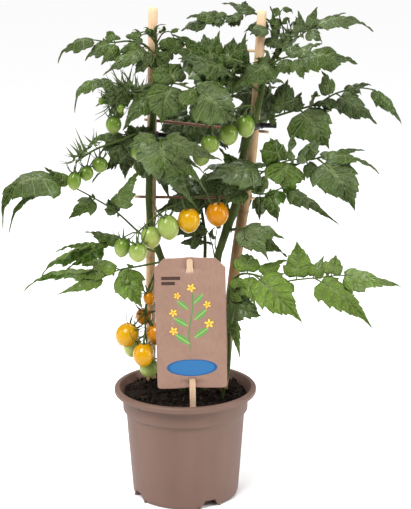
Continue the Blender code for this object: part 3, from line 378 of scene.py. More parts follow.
# Each leaf: the stem it grows from and the height there, its tone from dark to light, the points of
# its stalk, and its leaflets: place on the stalk, tip, width, lean of the upper face towards the
# front, and where they differ from leafletBow, arch and droop of the margins. Lengths in
# millimetres, angles in degrees. A low tone on a leaf that hangs in shade deep in the plant, as on
# leaf_centre_rear, is painted shade.
leafTable = {
    "leaf_far_left": ("stem_left", 262, 0.55, [(-47, -18, 273), (-65, -30, 293), (-89, -42, 311),
        (-112, -50, 325)], [
        (1.0, (-166, -66, 284), 29, 45, 0.58, 10), (0.93, (-129, -46, 338), 13, 40, 0.02, 4),
        (0.68, (-107, -48, 289), 19, 45, 0.1, 14), (0.5, (-41, -20, 332), 20, 25, 0.1, 20),
        (0.42, (-72, -26, 304), 14, 40, 0.0, 10), (0.97, (-160, -68, 281), 15, 25, 0.3, 10)]),
    "leaf_left_folded": ("stem_left", 251, 0.95, [(-48, -6, 256), (-64, 0, 257), (-82, 4, 251)], [
        (1.0, (-140, 6, 221), 24, -35, 0.12, 22), (0.9, (-116, 4, 227), 18, -50, 0.06, 20),
        (0.6, (-98, 8, 264), 16, 30, 0.1, 22), (0.97, (-127, 14, 242), 14, 10, 0.1, 20),
        (0.8, (-104, 2, 246), 12, 20, 0.08, 12)]),
    "leaf_lower_left": ("stem_left", 240, 1.1, [(-46, -18, 236), (-62, -26, 235), (-76, -32, 230)], [
        (0.62, (-40, -44, 202), 28, 62, 0.08, 6), (0.5, (-60, -40, 222), 18, 50, 0.08, 6),
        (0.72, (-98, -22, 239), 20, 30), (1.0, (-152, -38, 218), 22, -40, 0.2, 18),
        (0.95, (-121, -44, 215), 14, 60, 0.08, 22), (0.9, (-112, -36, 232), 13, 30, 0.08, 12)]),
    "leaf_top_left": ("stem_left", 440, 0.45, [(-38, -8, 447), (-52, -10, 450), (-66, -12, 449),
        (-80, -14, 451)], [
        (1.0, (-117, -16, 430), 17, 25, 0.28, 20), (0.78, (-91, -26, 434), 15, 45, 0.12, 22),
        (0.7, (-76, -28, 430), 15, 55, 0.1, 22), (0.72, (-71, 4, 457), 12, 20, 0.2, 14),
        (0.48, (-44, 8, 455), 12, 20, 0.2, 14), (0.2, (-74, -34, 421), 22, 50, 0.14, 16),
        (0.34, (-62, -24, 438), 10, 45, 0.1, 16), (0.12, (-46, -28, 420), 16, 50, 0.05, 12)]),
    "leaf_left_drooping": ("stem_left", 394, 0.45, [(-44, -4, 403), (-59, -2, 407)], [
        (1.0, (-103, -10, 383), 21, 20, 0.42, 18), (0.9, (-82, -22, 391), 19, 50, 0.1, 14),
        (0.85, (-72, -10, 378), 17, 50, 0.1, 14), (0.6, (-52, 14, 390), 17, 30, 0.1, 14)]),
    "leaf_left_arched": ("stem_left", 353, 0.4, [(-42, -14, 360), (-54, -18, 363)], [
        (1.0, (-94, -30, 345), 13, 10, 0.25, 20), (0.9, (-68, -34, 338), 27, 50),
        (0.45, (-88, -12, 316), 18, -25, 0.05, 12), (0.6, (-60, -14, 328), 24, 40, 0.06, 12),
        (0.6, (-57, 0, 317), 24, 50, 0.06, 12), (0.35, (-38, -22, 374), 17, 45, 0.06, 10),
        (0.4, (-54, -10, 372), 15, 45, 0.06, 10), (0.5, (-40, -18, 322), 18, 50, 0.06, 10),
        (0.9, (-80, -26, 346), 15, 40, 0.06, 10), (0.7, (-66, -20, 331), 17, 50, 0.06, 10),
        (0.2, (-47, -12, 320), 15, 60, 0.06, 10)]),
    "leaf_centre_front": ("stem_left", 346, 0.55, [(-27, -30, 358), (-22, -50, 366)], [
        (1.0, (-18, -66, 326), 46, 70, 0.06, 8), (0.92, (-52, -60, 359), 24, 60, 0.1, 14),
        (0.9, (35, -62, 347), 24, 55, 0.12, 14), (0.8, (21, -54, 330), 11, 20, 0.12, 22),
        (0.5, (9, -26, 306), 34, 60, 0.08, 10), (0.95, (20, -62, 318), 16, 50, 0.08, 10),
        (0.8, (12, -46, 299), 24, 60, 0.06, 10), (0.15, (-14, -18, 302), 17, 45, 0.06, 10)]),
    "leaf_centre_upper": ("stem_left", 402, 0.48, [(-20, -22, 410), (-8, -36, 414), (6, -46, 411),
        (15, -52, 410)], [
        (1.0, (49, -66, 383), 40, 60, 0.1, 8), (0.5, (-20, -60, 380), 36, 64, 0.08, 8),
        (0.3, (-56, -48, 372), 28, 50, 0.12, 12), (0.55, (-17, -26, 431), 34, 25, 0.1, 10),
        (0.85, (44, -40, 414), 26, 30, 0.12, 12), (0.8, (11, -62, 397), 20, 50, 0.05, 12)]),
    "leaf_centre_top": ("stem_right", 404, 0.22, [(58, -18, 413), (40, -24, 423), (22, -30, 432)], [
        (1.0, (-3, -38, 434), 34, 40), (0.88, (-2, -16, 455), 26, 30),
        (0.72, (59, -20, 452), 18, 35, 0.16, 12), (0.8, (35, -50, 420), 24, 50),
        (0.95, (-16, -24, 449), 16, 40), (0.6, (46, -6, 453), 28, 30), (0.5, (51, -46, 434), 18, 50),
        (0.9, (18, -18, 457), 28, 30), (0.45, (34, -34, 412), 24, 50), (0.85, (10, -10, 412), 28, 50),
        (0.62, (-5, -46, 438), 30, 42, 0.1, 10), (0.4, (58, -8, 459), 15, 30),
        (0.8, (33, -12, 460), 15, 30), (0.98, (-12, -12, 456), 13, 35)]),
    "leaf_top_arching": ("stem_right", 444, 0.35, [(83, 14, 463), (67, 16, 473), (48, 14, 472),
        (22, 10, 468)], [
        (1.0, (-3, 6, 458), 14, 40, 0.04, 14), (0.9, (33, 2, 461), 9, 40), (0.6, (35, 4, 464), 10, 40),
        (0.45, (35, 24, 482), 12, 30), (0.3, (56, 12, 456), 13, 50, 0.1, 16),
        (0.78, (20, 22, 473), 12, 25), (0.05, (80, 4, 481), 10, 20), (0.9, (2, 2, 470), 13, 40, 0.08, 12),
        (0.7, (44, 10, 461), 12, 40, 0.08, 12), (0.6, (58, 18, 485), 10, 30, 0.08, 12)]),
    "leaf_top_right": ("stem_right", 434, 0.4, [(92, -4, 441), (104, -8, 452), (119, -14, 464)], [
        (1.0, (174, -22, 460), 23, 20, 0.22, 14), (0.85, (127, -24, 450), 12, 50),
        (0.62, (99, -18, 461), 13, 50), (0.9, (124, -2, 481), 10, 30), (0.96, (150, -4, 475), 13, 20),
        (0.5, (78, -20, 446), 15, 40), (0.7, (106, 6, 477), 9, 20),
        (0.55, (86, -18, 456), 13, 45, 0.06, 12), (0.8, (140, -12, 468), 11, 35, 0.08, 12)]),
    "leaf_upper_right": ("stem_right", 414, 0.4, [(82, -18, 430), (97, -30, 438), (110, -36, 438)], [
        (1.0, (158, -46, 433), 28, 38, 0.16, 14), (0.95, (134, -54, 427), 20, 55, 0.08, 10),
        (0.9, (109, -52, 420), 14, 60, 0.0, 10), (0.45, (44, -38, 408), 24, 55),
        (0.4, (74, -36, 415), 18, 60, 0.05, 10), (0.62, (97, -36, 422), 16, 50, 0.08, 10),
        (0.85, (127, -26, 449), 16, 20), (0.7, (106, -28, 450), 14, 35, 0.08, 12),
        (0.3, (74, -30, 444), 14, 45, 0.06, 12), (0.2, (66, -26, 436), 14, 50, 0.06, 12)]),
    "leaf_far_right": ("stem_right", 377, 0.33, [(99, -4, 383), (126, 2, 390), (143, 6, 399), (165, 8, 404),
        (181, 8, 402)], [
        (1.0, (206, 4, 370), 13, 40, 0.16, 22), (0.97, (193, 0, 382), 9, 30),
        (0.68, (181, -12, 373), 25, 52, 0.1, 14), (0.62, (129, 4, 421), 15, 40),
        (0.74, (178, 20, 405), 12, 20, 0.12, 18), (0.36, (135, -30, 352), 40, 62, 0.08, 8),
        (0.24, (97, -10, 415), 24, 35), (0.1, (84, -8, 379), 13, 40), (0.46, (124, -14, 404), 15, 35),
        (0.56, (129, -12, 389), 14, 45), (0.2, (88, -14, 402), 13, 40, 0.06, 10),
        (0.56, (150, -6, 386), 14, 45, 0.08, 10), (0.3, (110, -6, 402), 15, 35, 0.06, 10)]),
    "leaf_right_middle": ("stem_right", 306, 0.5, [(66, -22, 322), (78, -30, 333), (98, -38, 343),
        (124, -46, 346)], [
        (1.0, (157, -62, 300), 40, 66, 0.16, 8), (0.99, (181, -40, 330), 14, 30, 0.2, 18),
        (0.97, (168, -32, 351), 16, 20, 0.08, 12), (0.66, (91, -58, 321), 36, 62, 0.08, 8),
        (0.6, (80, -26, 362), 28, 25, 0.08, 10), (0.7, (102, -52, 368), 22, 30, 0.08, 10),
        (0.4, (20, -54, 327), 33, 55, 0.1, 10), (0.8, (120, -60, 365), 22, 30, 0.08, 10),
        (0.86, (136, -34, 309), 14, 50, 0.06, 12), (0.12, (38, -42, 301), 22, 55, 0.06, 10),
        (0.22, (33, -22, 352), 25, 50, 0.06, 10), (0.4, (108, -30, 338), 18, 50, 0.06, 10),
        (0.3, (70, -34, 310), 20, 55, 0.06, 10), (0.78, (128, -32, 360), 17, 35, 0.08, 10)]),
    "leaf_right_hanging": ("stem_right", 322, 0.6, [(45, -2, 320), (48, 11, 313), (60, 17, 304),
        (75, 20, 299), (95, 26, 304)], [
        (1.0, (150, 22, 268), 15, 50, 0.08, 16), (0.94, (86, 24, 288), 22, -55, 0.05, 10),
        (0.97, (117, 30, 314), 20, -40, 0.08, 10), (0.8, (90, 8, 273), 17, 35, 0.08, 12),
        (0.7, (72, 8, 276), 15, 35, 0.08, 12), (0.42, (57, 6, 280), 16, 40, 0.08, 12),
        (0.35, (68, 14, 326), 18, 40, 0.06, 10), (0.6, (84, 22, 318), 14, 40, 0.06, 10)]),
    "leaf_right_small": ("stem_right", 274, 0.6, [(49, -24, 275), (53, -27, 276)], [
        (1.0, (94, -37, 268), 23, 45, 0.12, 14), (0.85, (79, -46, 249), 22, 52, 0.12, 12),
        (0.7, (98, -20, 246), 21, 45)]),
    "leaf_lower_right": ("shoot_low_right", 206, 1.2, [(44, -17, 219), (54, -27, 231), (69, -36, 232),
        (84, -40, 226), (106, -44, 230), (125, -48, 233), (144, -50, 236)], [
        (1.0, (203, -56, 226), 23, 40, 0.05, 14), (0.38, (110, -68, 195), 38, 66, 0.08, 8),
        (0.34, (67, -54, 207), 15, 60, 0.05, 10), (0.83, (176, -66, 188), 28, 56, 0.18, 10),
        (0.7, (106, -32, 265), 25, 35, 0.05, 10), (0.82, (132, -32, 250), 14, 35, 0.05, 10),
        (0.95, (143, -36, 252), 19, 35, 0.05, 10), (0.33, (60, -26, 251), 24, 40, 0.08, 12),
        (0.43, (98, -24, 244), 16, 35), (0.2, (58, -44, 222), 14, 45, 0.06, 12),
        (0.6, (98, -48, 212), 16, 55, 0.06, 12)]),
    # its low tone is painted shade: this leaf hangs in the shade under the leaves above it
    "leaf_centre_rear": ("stem_left", 345, 0.12, [(-20, -4, 349), (-13, 10, 356), (4, 30, 373)], [
        (1.0, (50, 36, 364), 32, 35, 0.12, 10), (0.99, (44, 30, 398), 26, 30, 0.1, 10),
        (0.9, (40, 34, 340), 26, 50, 0.1, 10), (0.88, (-24, 14, 362), 24, 50, 0.08, 10),
        (0.95, (10, 22, 352), 28, 50, 0.08, 10), (0.75, (-8, 50, 384), 22, 15, 0.1, 10),
        (0.98, (20, 22, 384), 22, 40, 0.08, 10), (0.97, (42, 14, 345), 32, 40, 0.08, 8),
        (0.98, (-18, 30, 376), 24, 40, 0.08, 8), (0.96, (22, 8, 358), 30, 45, 0.06, 8)]),
    "leaf_back_left": ("stem_left", 326, 0.4, [(-42, 2, 336), (-40, 28, 346), (-32, 55, 345)], [
        (1.0, (-22, 108, 322), 34, -20, 0.12, 12), (0.9, (8, 72, 334), 24, -10),
        (0.88, (-62, 70, 336), 24, -10), (0.62, (-2, 44, 350), 20, 0),
        (0.92, (-34, 62, 300), 36, 55, 0.08, 8), (0.8, (-8, 66, 306), 30, 50, 0.08, 8),
        (0.85, (-48, 48, 318), 26, 50, 0.08, 8), (0.7, (-22, 50, 326), 24, 45, 0.08, 8)]),
    "leaf_back_right": ("stem_right", 286, 0.4, [(40, 8, 302), (44, 34, 318), (52, 60, 322)], [
        (1.0, (62, 112, 298), 34, -20, 0.12, 12), (0.9, (92, 72, 312), 24, -10),
        (0.88, (18, 78, 310), 24, -10), (0.62, (74, 38, 324), 18, 0),
        (0.8, (34, 64, 284), 36, 55, 0.08, 8), (0.6, (64, 44, 282), 30, 50, 0.08, 8),
        (0.85, (36, 56, 300), 26, 50, 0.08, 8), (0.7, (70, 50, 304), 24, 45, 0.08, 8)]),
    "leaf_back_high": ("stem_right", 392, 0.35, [(81, 4, 400), (80, 28, 408), (70, 52, 408)], [
        (1.0, (56, 98, 388), 30, -20, 0.12, 12), (0.9, (98, 66, 400), 20, -10),
        (0.88, (34, 56, 402), 24, -10), (0.35, (44, 18, 362), 32, 50, 0.05, 8),
        (0.5, (52, 26, 338), 28, 50, 0.05, 8), (0.3, (43, 16, 394), 26, 45, 0.08, 8),
        (0.4, (52, 10, 378), 24, 50, 0.06, 8)]),
}
# Side shoots: radii of the stalk, tone, points of the stalk, leaflets as above
shootTable = {
    "shoot_middle": ((2.0, 2.2, 2.0, 1.8, 1.7, 1.2, 1.0), 0.2, [(6, 2, 78), (7, 2, 104), (14, 6, 165),
        (19, 8, 232), (19, 12, 262), (15, 20, 290), (12, 30, 311)], [
        (1.0, (-14, 40, 305), 30, 30, 0.1, 10), (0.97, (3, 26, 283), 28, 45, 0.1, 10),
        (0.88, (44, 24, 291), 30, 45, 0.08, 12), (0.96, (34, 32, 305), 30, 40),
        (0.76, (-5, 22, 249), 15, 40), (0.74, (22, 30, 247), 13, 35, 0.05, 12),
        (0.9, (38, 28, 320), 30, 60, 0.05, 6), (0.84, (-16, 18, 262), 22, 50, 0.05, 6),
        (0.93, (-27, 4, 285), 24, 50, 0.06, 8), (0.98, (2, 10, 300), 26, 40, 0.06, 8),
        (0.9, (-8, 8, 272), 18, 45, 0.06, 8), (0.84, (-12, 14, 258), 18, 45, 0.06, 8)]),
    "shoot_low_right": ((1.8, 1.8, 1.8, 1.7, 1.6, 1.4), 0.65, [(36, -16, 78), (36, -17, 104), (42, -20, 132),
        (43, -22, 160), (42, -24, 190), (42, -26, 216)], [
        (0.93, (73, -48, 195), 30, 50, 0.08, 12), (0.98, (65, -40, 219), 20, 48, 0.08, 12),
        (0.86, (53, -46, 152), 14, 40, 0.05, 12), (0.82, (48, -42, 174), 11, 40, 0.05, 12)]),
}
# Stems: radii and points
stemTable = {
    "stem_left": ((2.6, 3.0, 3.0, 3.0, 3.0, 3.1, 3.2, 3.0, 2.8, 2.4, 1.8, 1.0), [
        (-2, -4, 78), (-3, -4, 104), (-9, -8, 168), (-18, -10, 226), (-26, -10, 252), (-32, -10, 272),
        (-34, -10, 303), (-32, -10, 348), (-29, -10, 386), (-27, -9, 414), (-25, -10, 437), (-27, -10, 456)]),
    "stem_right": ((2.8, 3.2, 3.3, 3.5, 3.8, 3.9, 4.0, 3.7, 3.5, 3.4, 2.8, 2.5, 2.1, 1.1), [
        (16, -2, 78), (17, -2, 104), (26, -10, 168), (31, -14, 238), (35, -14, 256), (42, -13, 277),
        (49, -12, 297), (53, -12, 329), (58, -12, 353), (66, -11, 378), (71, -10, 397), (74, -7, 412),
        (81, 0, 428), (96, 8, 452)]),
}
leafletBow = (0.10, 12)          # arch and droop
bladeLook = {
    "thickness": 0.42,
    "fullness": (1.06, 4.2),     # width of the toothed blade: times the stated one, and mm more
    "narrow": 8,                 # mm, up to which the blade gets no more
    "toothSpacing": 8.2,         # mm of midrib for one tooth
    "toothDepth": (0.27, 0.15),  # of a small leaflet, of a large one
    "smallTooth": 0.05,          # second teeth on the large ones
    "pucker": 0.095,             # rise between the side veins, share of the width
    "ruffle": 0.085,             # wave of the margins, share of the width
    "crease": 0.015,             # depth of the midrib, share of the width
    "twist": 18.0,
    "curl": 0.16,
    "slant": (-10, 63),          # lean of the side veins at the base, and how much more further out
    "rows": 6,                   # rows to a tooth
    "notch": 0.93,               # where a tooth ends, share of its length
    "columns": (0.0, 0.08, 0.2, 0.36, 0.54, 0.72, 0.88, 1.0),
    "outline": ((0, 0.05, 0.12, 0.2, 0.32, 0.45, 0.6, 0.75, 0.88, 1.0),
                (0.50, 0.90, 1.0, 0.96, 0.79, 0.59, 0.38, 0.20, 0.09, 0.0)),
    "stalkRadius": 1.4,
    "stalkTaper": ((0, 0.04, 0.12, 1), (2.3, 1.8, 1.4, 0.7)),
    "toneSpread": 0.22,          # how far a leaflet may be lighter or darker than its leaf
    "lightest": 1.3,
    "tinyLength": (5.5, 9.5),    # leaflets between the large ones, mm
    "tinyWidth": 0.62,           # over their length
}
stemLines = {name: (smoothPath(points, 6), spread(radii, 6)) for name, (radii, points) in stemTable.items()}
for name, (radii, _, points, _) in shootTable.items():
    stemLines[name] = (smoothPath(points, 6), spread(radii, 6))


def stalkFrom(stem, height, points, radius):
    # the stalk starts inside the stem's skin and leaves it square
    line, radii = stemLines[stem]
    index = int(np.argmax(line[:, 2] >= height))
    below, above = line[index - 1], line[index]
    t = (height - below[2]) / (above[2] - below[2])
    centre, direction = below + (above - below) * t, unit(above - below)
    stemRadius = radii[index - 1] + (radii[index] - radii[index - 1]) * t
    away = np.array(points[0], float) - centre
    away = unit(away - direction * away.dot(direction))
    start, outside = (centre + away * (stemRadius + more) for more in (-0.4, 2.0 * radius))
    return smoothPath([start, outside, *points], 5)


def addBlade(heap, base, tip, width, lean, arch, droop, tone, rng, stalked=True):
    # one leaflet: a toothed, puckered blade on a short stalk of its own
    look = bladeLook
    width = width * look["fullness"][0] + look["fullness"][1] * (width > look["narrow"])
    base, tip = np.array(base, float), np.array(tip, float)
    length = np.linalg.norm(tip - base)
    ahead = (tip - base) / length
    facing = np.array((0.0, -math.sin(math.radians(lean)), math.cos(math.radians(lean))))
    up = unit(facing - facing.dot(ahead) * ahead)
    across = np.cross(ahead, up)
    teeth = int(np.clip(round(length / (look["toothSpacing"] * (0.8 if width < 14 else 1.0))), 3, 8))
    inner = np.linspace(0, 1, look["rows"], endpoint=False)
    inner[-1] = look["notch"]
    places = np.concatenate([(tooth + inner) / teeth for tooth in range(teeth)] + [[1.0]])
    half = list(look["columns"])
    cols = np.array([-c for c in half[:0:-1]] + half)
    startShare = rng.uniform(0.08, 0.13) if stalked else 0.0
    large = float(np.clip((width - 20) / 18, 0, 1))
    depths = rng.uniform(0.45, 1.6, (2, teeth + 1)) * np.interp(large, (0, 1), look["toothDepth"])
    phases = rng.uniform(0, 2 * math.pi, 4)
    twist = math.radians(rng.uniform(-look["twist"], look["twist"]))
    bendSide = rng.uniform(-0.06, 0.06) * length
    curl = look["curl"] * rng.uniform(0.5, 1.6)
    fall = math.tan(math.radians(droop))
    uneven = rng.uniform(0.88, 1.12)       # one half wider than the other
    # p runs down the rows from base to tip, c across the columns
    p, c = places[:, None], cols[None, :]
    tooth = np.minimum((places * teeth).astype(int), teeth - 1)
    inTooth = np.where(places < 1, places * teeth - tooth, 0.0)[:, None]
    outline = np.interp(places, *look["outline"])[:, None]
    hand = (cols >= 0).astype(int)
    depth = depths[hand][:, tooth].T * (1 - 0.5 * p)
    second = look["smallTooth"] * (1 - np.abs((inTooth * 2.5) % 1 * 2 - 1)) * (width > 15)
    edge = 1 - depth * (1 - inTooth) ** 0.85 - second * (1 - p) * (inTooth < 0.8)
    slant = np.radians(look["slant"][0] + look["slant"][1] * np.minimum(p * 2.0, 1.0) ** 0.75)
    reach = width / 2 * outline * edge * np.where(c >= 0, uneven, 2 - uneven)
    out = np.abs(c) * reach / np.cos(slant * 0.75)
    share = startShare + (1 - startShare) * p
    bulge = np.sin(math.pi * np.minimum(inTooth / look["notch"], 1))
    bulge = bulge * np.sin(math.pi * np.minimum(np.abs(c) * 1.05, 1)).clip(0) ** 0.7
    wave = np.sin(2 * math.pi * p * 1.6 + phases[hand])
    wave = wave + 0.6 * np.sin(2 * math.pi * p * 3.7 + phases[2 + hand])
    height = (-fall * out * 1.15 - curl * out ** 2 / (width / 2)
              + look["pucker"] * width * bulge * (1 - p * 0.6)
              + look["ruffle"] * width * np.abs(c) ** 1.6 * wave * (0.35 + outline * 0.65)
              - look["crease"] * width * np.exp(-np.abs(c) * 9))
    share, turn, height, slant, out = (np.broadcast_to(a, (len(places), len(cols)))[..., None] for a in
                                       (share, twist * (p - 0.3), height, slant, out))
    middle = (base + ahead * length * share + up * length * arch * 4 * share * (1 - share)
              + across * bendSide * np.sin(math.pi * share))
    side = across * np.cos(turn) + up * np.sin(turn)
    rise = up * np.cos(turn) - across * np.sin(turn)
    grid = (middle + side * np.sign(c)[..., None] * out * np.cos(slant) + ahead * out * np.sin(slant)
            + rise * height)
    uv = np.stack(np.broadcast_arrays(p * teeth, c * 0.5 + 0.5), -1)
    tones = np.stack(np.broadcast_arrays(tone, p, np.minimum(np.abs(c) * outline, 1)), -1)
    heap.plate(grid, look["thickness"], (0, 1), tones.reshape(-1, 3), uv)
    path = [base + ahead * length * s + up * (length * arch * 4 * s * (1 - s) - 0.25 * (s > startShare * 0.8))
            + across * bendSide * math.sin(math.pi * s) for s in np.linspace(0, startShare + 0.12, 5)]
    thick = 0.38 + width * 0.014
    heap.tube(path, np.linspace(thick, thick * 0.6, 5), 2, (tone, 0.5, 0.0), sides=6)


def addLeaflets(heap, points, leaflets, tone, rng, tiny=True):
    for share, tip, width, lean, *bow in leaflets:
        shade = tone + rng.uniform(-bladeLook["toneSpread"], bladeLook["toneSpread"])
        shade = min(max(shade, 0), bladeLook["lightest"])
        addBlade(heap, along(points, min(share, 0.99)), tip, width, lean, *(bow or leafletBow), shade, rng)
    # tiny leaflets between the large ones
    if tiny:
        for share in rng.uniform(0.35, 0.95, 3 if len(leaflets) > 4 else 1):
            base = along(points, share)
            ahead = unit(along(points, min(share + 0.05, 1.0)) - along(points, share - 0.05))
            out = unit(np.cross(ahead, (0, -0.5, 1))) * rng.choice((-1, 1))
            size = rng.uniform(*bladeLook["tinyLength"])
            tip = base + out * size + ahead * size * 0.4 - np.array((0, 0, rng.uniform(0, 2.5)))
            addBlade(heap, base, tip, size * bladeLook["tinyWidth"], 30, 0.1, 10, tone, rng, stalked=False)


def makeLeaf(name, stem, height, tone, stalk, leaflets):
    rng = np.random.default_rng(sum(ord(letter) * (index + 1) for index, letter in enumerate(name)))
    heap = Heap()
    points = stalkFrom(stem, height, stalk, bladeLook["stalkRadius"])
    radii = np.interp(np.linspace(0, 1, len(points)), *bladeLook["stalkTaper"])
    heap.tube(points, radii, 2, (tone, 0.5, 0.0), sides=10, squash=0.85)
    addLeaflets(heap, points, leaflets, tone, rng)
    settle(heap.build("foliage_" + name[5:], [leafTop, leafUnder, stalkGreen]), "leaf", name)


def leafMaterial(name, dark, light, bright, vein, veinShare, gloss):
    paint = Paint(name, Specular_IOR_Level=0.20, Specular_Tint=(0.8, 1.0, 0.5),
                  Coat_Roughness=0.30, Coat_Tint=(0.9, 1.0, 0.8))
    x, y = paint.uv()
    tone, place, edge = paint.tones()
    side = abs(y - 0.5) * 2
    spot = paint.place()
    mottle = paint.noise(spot, 90.0, 5.0, 0.6)
    patch = paint.noise(spot, 30.0, 3.0)
    crinkle = paint.noise(spot, 230.0, 3.0, 0.6)
    # side veins run along the rows and thin out towards the margin
    inTooth = paint.maths("FRACT", x + 0.07)
    sideVein = (0.5 - abs(inTooth - 0.5)).between((1.15 - side * 0.8) * 0.15, 0.02) * (1 - place * 0.4)
    midrib = side.between(0.17, 0.03)
    # a network of small veins between them
    mesh = paint.node("ShaderNodeCombineXYZ", {}, {0: x * 2.6 + mottle * 0.4,
                                                   1: side * 3.6 + y.between(0.49, 0.51) * 9})
    net = paint.cells(mesh, 1.0, "DISTANCE_TO_EDGE", "2D")
    finer = paint.cells(spot, 620.0, "DISTANCE_TO_EDGE")
    veins = midrib.most(sideVein).most(net.between(0.14, 0.0) * 0.55)
    # tone is the leaf's own shade of green, and painted shade on leaves set dark because they hang in shade
    # inside the plant
    level = tone * 0.8 + (patch - 0.5) * 1.0 + (mottle - 0.5) * 0.45 + (crinkle - 0.5) * 0.35 + 0.06
    middle = tuple(0.62 * a + 0.38 * b for a, b in zip(dark, light))
    stops = ((0.08, dark), (0.42, middle), (0.74, light), (1.0, bright))

    def tinted(red, green, blue, more):
        changed = [(at, (c[0] * red, c[1] * green, c[2] * blue + more)) for at, c in stops]
        return paint.ramp(level * 0.8, changed)
    # some leaves are a purer green, others are dusty
    pure, dusty = tinted(0.82, 0.98, 0.4, 0.0), tinted(1.17, 1.07, 1.4, 0.003)
    dust = paint.noise(spot, 22.0, 2.0) - (tone - 0.5) * 0.22 + (crinkle - 0.5) * 0.3
    base = paint.blend(dust.between(0.36, 0.64), pure, dusty)
    worn = tuple(0.45 * (a + b) for a, b in zip(dark, light))
    colour = paint.blend(veins * veinShare, paint.blend(edge.between(0.86, 1.0) * 0.35, base, worn), vein)
    height = mottle * 0.3 + crinkle * 0.5 - veins * 1.1 + net.between(0.0, 0.45) * 0.75 + finer * 0.25
    shine = (patch * 0.7 + mottle * 0.3).between(0.47, 0.60) * (1.0 - gloss * 4)
    return paint.finish(Base_Color=colour, Roughness=0.34 + mottle * 0.20 + patch * 0.1 + gloss,
                        Coat_Weight=shine, Normal=paint.bump(height, 0.0015, 0.8))


def stalkMaterial(name, dark, light, blush, blushShare):
    paint = Paint(name, Sheen_Weight=0.05, Sheen_Roughness=0.45, Specular_IOR_Level=0.2,
                  Specular_Tint=(0.9, 1.0, 0.6))
    spot = paint.place()
    streak = paint.noise(paint.stretch(spot, 0.12), 420.0, 4.0)
    patch = paint.noise(spot, 45.0, 3.0)
    fleck = paint.cells(spot, 1500.0)
    level = streak * 0.5 + patch * 0.45 + paint.tones()[0] * 0.3 - 0.15
    colour = paint.ramp(level, ((0.15, dark), (0.85, light)))
    colour = paint.blend(patch.between(0.55, 0.8) * blushShare, colour, blush)
    pale = tuple(min(c * 1.6 + 0.06, 1) for c in light)
    colour = paint.blend(fleck.between(0.22, 0.05) * 0.3, colour, pale)
    height = streak * 0.6 + fleck.between(0.3, 0.0) * 0.5
    return paint.finish(Base_Color=colour, Roughness=0.5 + streak * 0.18,
                        Normal=paint.bump(height, 0.0003, 0.6))


leafTop = leafMaterial("leafTop", (0.0035, 0.011, 0.0008), (0.100, 0.194, 0.010), (0.235, 0.360, 0.016),
                       (0.230, 0.325, 0.080), 0.85, 0.0)
leafUnder = leafMaterial("leafUnder", (0.037, 0.061, 0.016), (0.139, 0.189, 0.066), (0.20, 0.27, 0.09),
                         (0.180, 0.226, 0.090), 0.75, 0.12)
stalkGreen = stalkMaterial("stalkGreen", (0.019, 0.036, 0.0051), (0.072, 0.106, 0.022),
                           (0.043, 0.029, 0.015), 0.25)
for name, leaf in leafTable.items():
    makeLeaf(name, *leaf)
print("leaves made")

stemLook = {
    "knuckle": 0.16,             # swelling where a leaf leaves, share of the radius
    "knuckleReach": 4.5,         # mm
    "unevenness": 0.05,
    "hairLength": 1.3,           # mm
    "hairsPerSquareCm": 42.0,
    "hairsAbove": 112,           # mm, clear of the compost
    "budSize": 2.2,
}
# Young growth at the two tips: base, direction, length, width, hook
apexTable = {
    "stem_left": [
        ((-26, -10, 450), (-0.6, 0.2, 0.6), 15, 6, 0.45), ((-26, -10, 452), (0.5, -0.2, 0.7), 17, 6, 0.4),
        ((-27, -10, 455), (0.1, -0.3, 0.6), 11, 5, 0.5), ((-25, -10, 446), (1.0, -0.2, 0.3), 22, 9, 0.25),
        ((-25, -9, 442), (0.9, 0.3, 0.1), 25, 11, 0.2), ((-26, -9, 440), (0.7, -0.5, -0.4), 18, 8, 0.2),
        ((-27, -10, 453), (-0.9, -0.3, 0.2), 17, 7, 0.4), ((-26, -9, 434), (-0.8, -0.4, -0.4), 18, 9, 0.2),
        ((-25, -10, 436), (0.8, -0.5, -0.7), 20, 9, 0.15)],
    "stem_right": [
        ((96, 8, 450), (-0.5, -0.1, 1.0), 15, 5, 0.35), ((95, 8, 449), (0.1, -0.3, 1.0), 17, 5, 0.3),
        ((92, 6, 446), (-0.3, -0.6, 0.5), 12, 5, 0.4), ((97, 8, 452), (0.4, -0.4, 0.9), 13, 5, 0.4),
        ((90, 4, 440), (-1.0, -0.2, 0.3), 14, 7, 0.3), ((88, 3, 437), (0.1, -0.8, 0.7), 15, 8, 0.2),
        ((86, 2, 434), (0.3, -0.9, -0.2), 13, 8, 0.2), ((93, 7, 447), (0.9, -0.6, 0.4), 14, 7, 0.25)],
}
